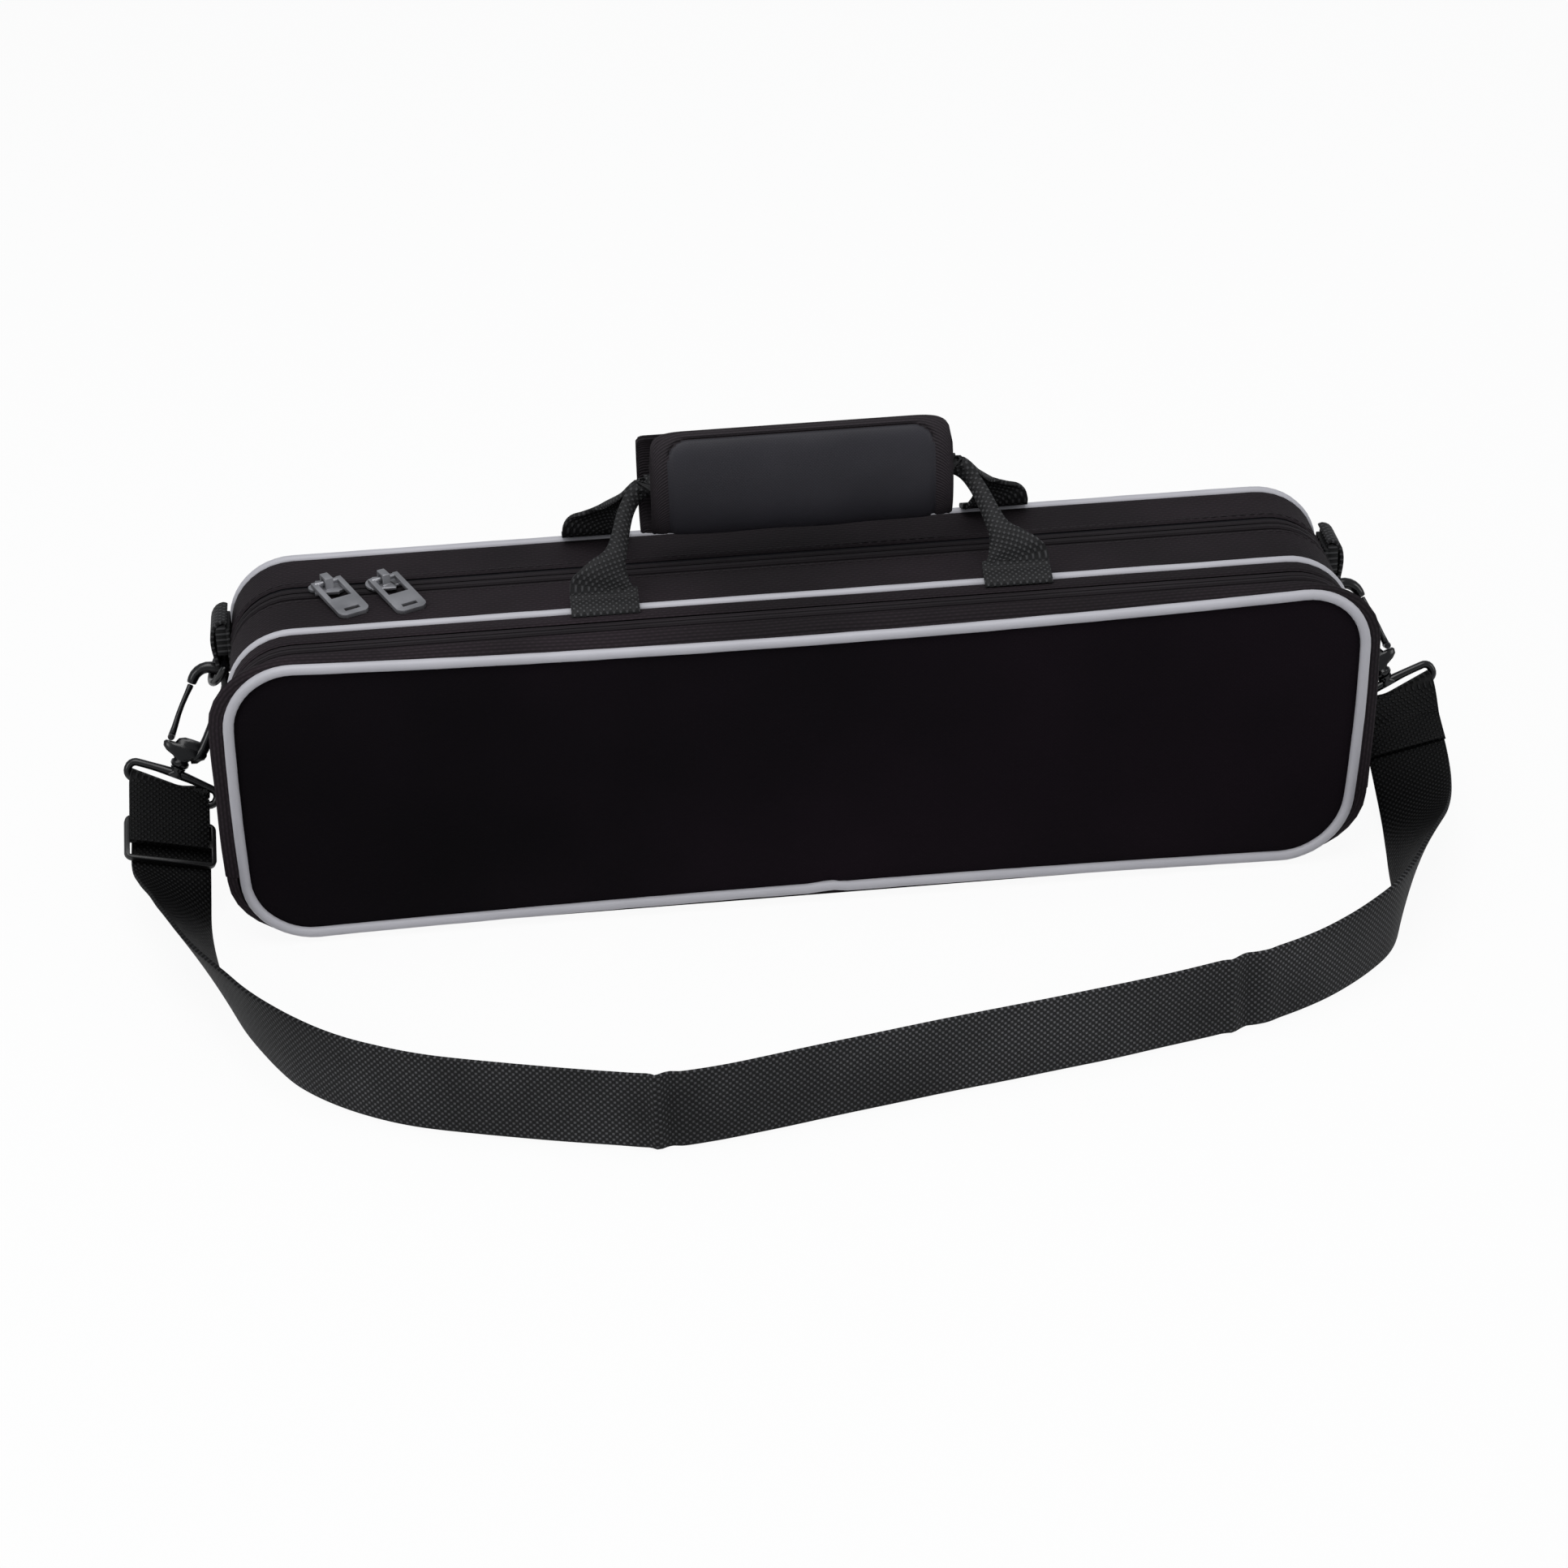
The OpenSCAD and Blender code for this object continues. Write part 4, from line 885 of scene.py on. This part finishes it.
class FLUTECASE_OT_zips(Operator):
    """Tapes and coils of the main zip and the pocket's zip"""
    bl_idname = "flutecase.zips"
    bl_label = "Zips"

    def execute(self, context):
        pitch = context.scene.flute_case_sizes.coil_pitch / MM
        # section of one tape, from the zip's middle out: it humps over the coil and dips into a groove
        main = ((0.4, 0.35), (1.2, 0.05), (2.6, 0.0), (3.2, 0.2), (3.5, 1.2), (3.8, 2.6), (5.3, 2.7),
                (6.4, 2.7))
        slim = ((0.2, 0.4), (0.8, 0.05), (1.8, 0.0), (2.3, 0.2), (2.6, 1.2), (2.9, 2.2), (3.8, 2.3),
                (4.6, 2.3))
        for name, node, middle, side, section, start, body in (
                ("back_tape_cloth", "back_zip_tape", ZIP_Y, 1, main, ZIP_END, "case_back"),
                ("front_tape_cloth", "front_zip_tape", ZIP_Y, -1, main, ZIP_END + 0.3, "lid"),
                ("pocket_back_tape_cloth", "pocket_zip_back", POCKET_ZIP_Y, 1, slim, FLAP_Z, "lid"),
                ("pocket_front_tape_cloth", "pocket_zip_front", POCKET_ZIP_Y, -1, slim, FLAP_Z,
                 "pocket_flap")):
            profile = [(middle + side * away, drawn) for away, drawn in section]
            tape = walls(name, profile, start, thick=0.5, ripple=0.0)
            dress(tape, "ribbed_tape", body, [node])
        for end, side, body in (("back", 1, "case_back"), ("front", -1, "lid")):
            run = threads_run(ZIP_Y + side * 1.6, 1.3, ZIP_END + 0.6, 2, 20)
            turns = threaded(end + "_coil", run, pitch, (1.05, 2.9, 1.6), 6)
            dress(turns, "nylon_coil", body, [end + "_zip_teeth"])
        return {"FINISHED"}


class FLUTECASE_OT_pocket(Operator):
    """Soft walls and crowned front of the pocket"""
    bl_idname = "flutecase.pocket"
    bl_label = "Pocket"

    def execute(self, context):
        back = walls("pocket_back_wall_cloth", spread_profile(-26.2, -18.8, 0.5, 0.9, 4))
        dress(back, "woven_polyester", "lid", ["pocket_gusset_back"])
        sill = laid_grid("pocket_sill_cloth", self.sill_rows(), thick=1.4, side=Vector((0, 0, -1)))
        bend = (Vector((0, -34.5, 0)), Vector((0, -40.5, 0)))
        dress(sill, "woven_polyester", ("lid", "pocket_flap", *bend), ["pocket_sill"])
        front = laid_grid("pocket_front_wall_cloth", self.wall_rows(), thick=1.2, side=Vector((0, 0, 1)))
        dress(front, "woven_polyester", "pocket_flap", ["pocket_gusset_front"])
        panel = flat_panel("pocket_panel_cloth", self.panel_place, -1, 1.8, 110, 8, 22)
        dress(panel, "brushed_polyester", "pocket_flap", ["pocket_panel"])
        return {"FINISHED"}

    def bulge(self, out, s):
        """How far the stuffed ends swell past the piping, a share s of the way back from it. The last 2 mm
        stay flat, to leave room for the pull of the pocket's zip."""
        s /= 0.7
        return 6.2 * out[0] ** 2 * math.sin(math.pi * s) ** 0.7 if 0 < s < 1 else 0

    def sill_rows(self):
        """The strip along the pocket's base, between its zip's ends."""
        rows = []
        for x, z, out in base_run(FLAP_Z - 0.1):
            px, row = pinch(x, z)[0], []
            for y, d in spread_profile(-40.9, -26.2, 0.3, 0.3, 14):
                s = min((y - SEAM_Y) / SOFT_DEPTH, 1)
                row.append(drawn_in((px + (x - px) * s, z, out), y, d - self.bulge(out, s)))
            rows.append(row)
        return rows

    def wall_rows(self):
        """The soft wall between the front piping and the zip, which slumps between the two."""
        rows = []
        for x, z, out in wall_run(FLAP_Z):
            px, pz = pinch(x, z)
            row = []
            for k in range(9):
                s = k / 8
                drawn = 0.7 * (1 - s) ** 6 + 0.4 * s ** 8 - 0.9 * math.sin(math.pi * s) * (
                    0.6 + noise.noise(Vector((x * 0.03, s, z * 0.03)))) - self.bulge(out, s)
                spot = (px + (x - px) * s, pz + (z - pz) * s, out)
                row.append(drawn_in(spot, SEAM_Y + SOFT_DEPTH * s, drawn))
            rows.append(row)
        return rows

    def panel_place(self, x, z, d):
        """The front is crowned over thin foam, with short puckers where it is gathered into the seam."""
        swell = 2.6 * (1 - math.exp(-d / 16)) - 0.9 * math.exp(-d / 1.5)
        swell += soft(x, -44, z, 1.0, 0.012) * min(1, d / 30)
        swell += 0.22 * noise.noise(Vector((x * 0.11, z * 0.11, 3))) * math.exp(-d / 8) * min(1, d / 2)
        swell += (0.5 * math.exp(-((x - 12) / 3.0) ** 2) - 1.1 * math.exp(-((x - PUCKER_X) / 1.8) ** 2)) \
            * math.exp(-(z - 4) / 9) * min(1, d / 1.5)
        px, pz = pinch(x, z)
        return Vector((px, FRONT_LOOP_Y - swell, pz))


class FLUTECASE_OT_sliders(Operator):
    """Zip sliders and their pulls"""
    bl_idname = "flutecase.sliders"
    bl_label = "Sliders and pulls"

    def execute(self, context):
        for node, body in (("slider_left", "left_slider"), ("slider_right", "right_slider"),
                           ("pocket_slider", "pocket_slide"), ("pull_left", "left_pull"),
                           ("pull_right", "right_pull"), ("pocket_pull", "pocket_pull_tab")):
            casting = softened(node, node + "_casting", 0.3)
            dress(casting, "plated_zinc", body, [node])
        return {"FINISHED"}


class FLUTECASE_OT_handles(Operator):
    """Webbing handles with padded, bound grip leaves"""
    bl_idname = "flutecase.handles"
    bl_label = "Handles"

    def execute(self, context):
        wide = context.scene.flute_case_sizes.handle_width / MM
        self.webbing("front", -1, -13.4, 11.4, "lid", wide)
        self.webbing("back", 1, 35.7, 16.6, "case_back", wide)
        self.leaf("front", -1, 0, 15.0, 106)
        self.leaf("back", 1, -4, 3.0, 66)
        for node in ("grip_hook_strip", "grip_loop_strip"):
            refinished(node, "hook_and_loop_pile")
        return {"FINISHED"}

    def webbing(self, end, side, root, core, body, wide):
        """A handle's webbing from one sewn end through the grip to the other. root and core are where it
        stands in depth above the seam and inside the grip."""
        sewn_x, grip_x, rise = 76.0, GRIP_LENGTH / 2, 31.2
        # along, depth, height, width and turn of the webbing, from its sewn end up into the grip
        leg = [(sewn_x, root + side * 9.2, 115.3, wide, 0), (sewn_x, root + side * 8.5, 116.6, wide, 0),
               (sewn_x, root + side * 5.8, 117.7, wide, 0), (sewn_x, root + side * 2.9, 118.3, wide, 0),
               (sewn_x, root + side * 1.0, 119.8, wide - 0.2, 0), (sewn_x - 0.2, root, 122.2, wide - 1, 0)]
        leg += [(sewn_x - in_by, root + (core - root) * share, HANDLE_Z + up * rise, w, turn)
                for in_by, share, up, w, turn in ((2.2, 0.05, 0.3, 18, 0.1), (6.5, 0.26, 0.52, 11.5, 0.25),
                                                  (12, 0.88, 0.78, 10, 0.6))]
        leg += [(grip_x + 2, core, HANDLE_Z + 0.97 * rise, 11, 0.95), (grip_x - 10, core, GRIP_Z, 11, 1)]
        run = smoothed([(-q[0], *q[1:]) for q in leg] + leg[::-1], 6)
        centre = [Vector((HANDLE_X + q[0], q[1], q[2])) for q in run]
        rows = []
        for i, p in enumerate(centre):
            along = heading(centre, i)
            lefthand = 1 if i < len(run) / 2 else -1
            turn = math.pi / 2 * min(max(run[i][4], 0), 1)
            across = squared(Vector((math.cos(turn) * lefthand, 0, -math.sin(turn))), along)
            face = along.cross(across)
            w = run[i][3]
            narrowing = max(0, 1 - w / wide)
            row = []
            for s in spread(12):
                # the webbing's edges roll under as it narrows
                roll = narrowing * 2.6 * math.pi / 2 * s
                reach = math.sin(roll) / roll * s if abs(roll) > 1e-3 else s
                curl = (1 - math.cos(roll)) * w * 0.16
                row.append(p + across * (reach * w / 2 * (1 + narrowing * 0.4)) - face * side * curl)
            rows.append(row)
        piece = laid_grid(end + "_handle_strap", rows, thick=1.5, rounding=0.35)
        # two places just above the seam, which dress takes but does not use
        bend = [Vector((HANDLE_X, root + side * 0.8, z)) for z in (HANDLE_Z, 124.0)]
        dress(piece, "polypropylene_handle", (body, end + "_handle", *bend),
              [end + "_handle_tabs", end + "_handle_webbing"], 60)

    def leaf(self, end, side, shift, corner, top):
        """One half of the padded oval, up to the angle top, with bound edges and a seam inside them."""
        half_x, half_z, deep, wall, bound = GRIP_LENGTH / 2, 21.3, 9.7, 3.4, 7.0
        count_x, count_t, lowest = 120, 56, math.radians(-88)
        middle = Vector((HANDLE_X + shift, ZIP_Y, GRIP_Z))

        def last(x):
            """Angle of the top edge, which is rounded at both ends, and how much of the corner it lost."""
            over = abs(x) - (half_x - corner)
            lost = corner - math.sqrt(max(corner ** 2 - over ** 2, 0)) if over > 0 else 0
            return math.radians(top) - lost / 12, lost

        def rim(x, t):
            """Distance from the nearest free edge."""
            highest, lost = last(x)
            arc_left = max(highest - t, 0) / 6 * sum(
                math.hypot(deep * math.sin(a), half_z * math.cos(a))
                for a in (t + (highest - t) * (k + 0.5) / 6 for k in range(6)))
            over = abs(x) - (half_x - corner)
            if over > 0 and arc_left + lost < corner:
                return corner - math.hypot(over, corner - arc_left - lost)
            return min(half_x - abs(x), arc_left)

        rows = []
        for x in (half_x * s for s in spread(count_x)):
            highest = last(x)[0]
            outer, inner = [], []
            for k in range(count_t + 1):
                t = lowest + (highest - lowest) * k / count_t
                y, z = deep * math.cos(t), half_z * math.sin(t)
                normal = Vector((0, y / deep ** 2, z / half_z ** 2)).normalized()
                d = max(rim(x, t), 0)
                lift = -1.0 - 0.7 * math.exp(-d / 0.5) - 0.45 * math.exp(-((d - 2.2) / 0.45) ** 2) \
                    - 1.2 * math.exp(-((d - bound) / 0.5) ** 2)
                if d > bound:
                    lift += 0.9 * (1 - math.exp(-(d - bound) / 4)) + 0.5 * noise.noise(
                        Vector((x * 0.05, z * 0.06, side))) * min(1, (d - bound) / 8)
                outer.append(Vector((x, side * (y + 0.2 + normal.y * lift), z + normal.z * lift)))
                inner.append(Vector((x, side * ((deep - wall) * math.cos(t) + 0.2),
                                     (half_z - wall) * math.sin(t))))
            rows.append([v + middle for v in outer + inner[::-1] + [outer[0]]])
        leaf = laid_grid(end + "_grip_leaf", rows, closed=True)
        for finish in ("coated_cloth", "grosgrain"):
            leaf.data.materials.append(finish_named(finish))
        for face in leaf.data.polygons:
            c = face.center / MM - middle
            face.material_index = 1 if rim(c.x, math.atan2(c.z / half_z, side * c.y / deep)) < bound else 0
        dress(leaf, None, end + "_handle", ["grip_" + end + "_leaf"], 50)


class FLUTECASE_OT_hardware(Operator):
    """Rings, snap hooks, gates, webbing eyes and the sewn tabs that hold the rings"""
    bl_idname = "flutecase.hardware"
    bl_label = "Rings and hooks"

    def execute(self, context):
        for end, side in (("left", -1), ("right", 1)):
            smooth(refinished("ring_" + end, "black_enamel"))

            def place(x, y, z, side=side):
                """From the hook's own frame, with the ring's bow at its origin, to the case's."""
                return on_side(HOOK_AT @ Vector((x, y, z)), side)

            for make, body, node in ((self.hook, "case_back", "hook_"), (self.gate, end + "_gate", "gate_"),
                                     (self.eye, "case_back", "swivel_eye_")):
                dress(make(end, place), "black_enamel", body, [node + end])
            dress(self.tab(end, side), "polypropylene_handle", "case_back",
                  ["ring_tab_" + end], 60)
        return {"FINISHED"}

    def hook(self, end, place):
        """Bar of stem, bent top and nose, rounded at its ends; a foot, lower on the gate's side, on a round
        neck; and the gate's pin."""
        line = [(-3.2, -31.6), (-4.6, -30.8), (-5.8, -29), (-6.4, -26), (-6.5, -22), (-6.5, -15), (-6.5, -8),
                *arc(0, -2.4, -6.5, 6.6, range(0, 181, 15)), (6.5, -3.6), (6.5, -4.3), (6.5, -4.5)]
        radii = [2.0, 2.3, 2.3, 2.2, 2.0, 1.9, 2.0] \
            + [2.0 + 0.25 * math.sin(math.pi * k / 12) for k in range(13)] + [1.9, 1.7, 1.0]
        bar = tube("bar", [place(x, 0, z) for x, z in line], radii, 14, flat=Vector((0, 1, 0)))
        foot = self.turned("foot", place, (
            (-36, -2.0, 2.0, 2.0), (-35.9, -3.0, 3.0, 3.0), (-35.2, -3.5, 3.5, 3.5),
            (-34, -3.5, 3.5, 3.5), (-33.2, -2.8, 2.8, 2.8), (-32.4, -3.4, 3.6, 2.8),
            (-31.4, -6.6, 6.6, 2.5), (-30.2, -8.2, 8.2, 2.5), (-28.6, -8.6, 8.6, 2.3),
            (-27.8, -8.4, 8.0, 2.1), (-27.4, -8.2, 4.4, 2.0), (-25.6, -8.0, 3.6, 1.9),
            (-24.6, -7.2, 1.6, 1.5), (-24.3, -6.4, -1.6, 0.6)))
        pin = tube("pin", [place(6.5, y, -26) for y in (-2.5, -2.3, -1.4, 1.4, 2.3, 2.5)],
                   [0.7, 1.2, 1.4, 1.4, 1.2, 0.7])
        return joined("hook_" + end + "_casting", bar, foot, pin)

    def gate(self, end, place):
        line = [(6.5, -26.8), (6.5, -26), (6.6, -22), (6.9, -17), (6.9, -13), (6.7, -9), (6.5, -6),
                (6.5, -5.1), (6.5, -4.9)]
        return tube("gate_" + end + "_casting", [place(x, 0, z) for x, z in line],
                    [0.9, 1.4, 1.2, 1.05, 1.0, 1.05, 1.2, 1.2, 0.7])

    def eye(self, end, place):
        """An oval wire loop whose top bar bows up to the swivel, and the swivel's barrel."""
        half, low, high, r = 17.7, -46, -39.7, 2.9
        line = [(-half + r + (2 * half - 2 * r) * k / 12, low) for k in range(13)]
        line += arc(half - r, low + r, r, r, range(-72, 1, 18)) \
            + arc(half - r, high - r, r, r, range(18, 91, 18))
        line += [(half - r - (2 * half - 2 * r) * k / 12, high + 0.9 * math.sin(math.pi * k / 12))
                 for k in range(1, 13)]
        line += arc(-half + r, high - r, r, r, range(108, 181, 18)) \
            + arc(-half + r, low + r, r, r, range(198, 253, 18))
        radii = [1.5 + (0.35 * math.exp(-(x / 6) ** 2) if z > high - 1 else 0) for x, z in line]
        loop = tube("loop", [place(x, 0, z) for x, z in line], radii, closed=True)
        barrel = self.turned("barrel", place, (
            (-40.4, -1.6, 1.6, 1.2), (-40.2, -3.4, 3.4, 1.8), (-39.2, -3.6, 3.6, 2.1),
            (-38.2, -2.6, 2.6, 2.4), (-37.4, -2.4, 2.4, 2.4), (-36.7, -2.9, 2.9, 2.9),
            (-36.3, -2.9, 2.9, 2.9), (-36.1, -1.9, 1.9, 1.9)))
        return joined("swivel_eye_" + end + "_casting", loop, barrel)

    def tab(self, end, side):
        """Webbing sewn to the end wall and folded through the ring, with its own end folded in between."""
        path = [(208.9, 97), (208.85, 92), (208.85, 86), (208.85, 83.2),
                *arc(211.4, 82, 2.55, 2.55, range(180, 361, 20)), (214.3, 85), (214.9, 89), (215.0, 93),
                (214.3, 96.8), (212.6, 99.3), (210.4, 100.2), (209.0, 99.6)]
        rows = [[Vector((side * x, RING_Y + s * 7.9, z)) for s in spread(6)] for x, z in smoothed(path, 2)]
        outer = laid_grid("ring_tab_" + end + "_webbing", rows, thick=1.5, rounding=0.35)
        rows = [[Vector((side * 211.5, RING_Y + s * 7.7, z)) for s in spread(6)]
                for z in (86, 89, 92, 95, 98.4)]
        inner = laid_grid("fold", rows, thick=4.2, rounding=0.5)
        return joined(outer.name, outer, inner)

    def turned(self, name, place, sections):
        """A casting of oval sections, each a height, its two ends along X and half its depth."""
        rows = []
        for z, x0, x1, half in sections:
            # a rounded box's section where it is wider than deep, and round otherwise
            power = 0.75 if x1 - x0 > 2.4 * half else 1.0
            ring = []
            for k in range(25):
                c, s = math.cos(math.tau * k / 24), math.sin(math.tau * k / 24)
                ring.append(place((x0 + x1) / 2 + (x1 - x0) / 2 * math.copysign(abs(c) ** power, c),
                                  half * math.copysign(abs(s) ** power, s), z))
            rows.append(ring)
        return laid_grid(name, rows, closed=True)


class FLUTECASE_OT_inside(Operator):
    """Plush insert with its channels, the lid's pad and the lined boards"""
    bl_idname = "flutecase.inside"
    bl_label = "Inside"

    def execute(self, context):
        insert = softened("insert_foam", "insert_plush", 1.2)
        dress(insert, "plush_pile", "case_back", ["insert_foam"])
        pad = softened("lid_pad", "lid_pad_plush", 3.0)
        dress(pad, "plush_pile", "lid", ["lid_pad"])
        for node, body in (("back_board", "case_back"), ("front_board", "lid")):
            board = softened(node, node + "_lining", 0.6)
            dress(board, "board_cloth", body, [node])
        return {"FINISHED"}


class FLUTECASE_PT_panel(Panel):
    """Lists the sizes, the colours and the pieces in the order in which they are made"""
    bl_idname = "FLUTECASE_PT_panel"
    bl_label = "Flute case"
    bl_space_type = "VIEW_3D"
    bl_region_type = "UI"
    bl_category = "Flute case"

    def draw(self, context):
        for group in (context.scene.flute_case_sizes, context.scene.flute_case_colours):
            for key in group.__annotations__:
                self.layout.prop(group, key)
        for maker in MAKERS:
            self.layout.operator(maker.bl_idname)


MAKERS = (FLUTECASE_OT_stage, FLUTECASE_OT_strap, FLUTECASE_OT_covers, FLUTECASE_OT_piping, FLUTECASE_OT_zips,
          FLUTECASE_OT_pocket, FLUTECASE_OT_sliders, FLUTECASE_OT_handles, FLUTECASE_OT_hardware,
          FLUTECASE_OT_inside)
CLASSES = (FluteCaseSizes, FluteCaseColours, *MAKERS, FLUTECASE_PT_panel)


def register():
    for cls in CLASSES:
        bpy.utils.register_class(cls)
    bpy.types.Scene.flute_case_sizes = PointerProperty(type=FluteCaseSizes)
    bpy.types.Scene.flute_case_colours = PointerProperty(type=FluteCaseColours)


def unregister():
    del bpy.types.Scene.flute_case_sizes
    del bpy.types.Scene.flute_case_colours
    for cls in reversed(CLASSES):
        bpy.utils.unregister_class(cls)


def main():
    register()
    for maker in MAKERS:
        group, name = maker.bl_idname.split(".")
        getattr(getattr(bpy.ops, group), name)()
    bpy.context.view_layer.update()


if __name__ == "__main__":
    main()
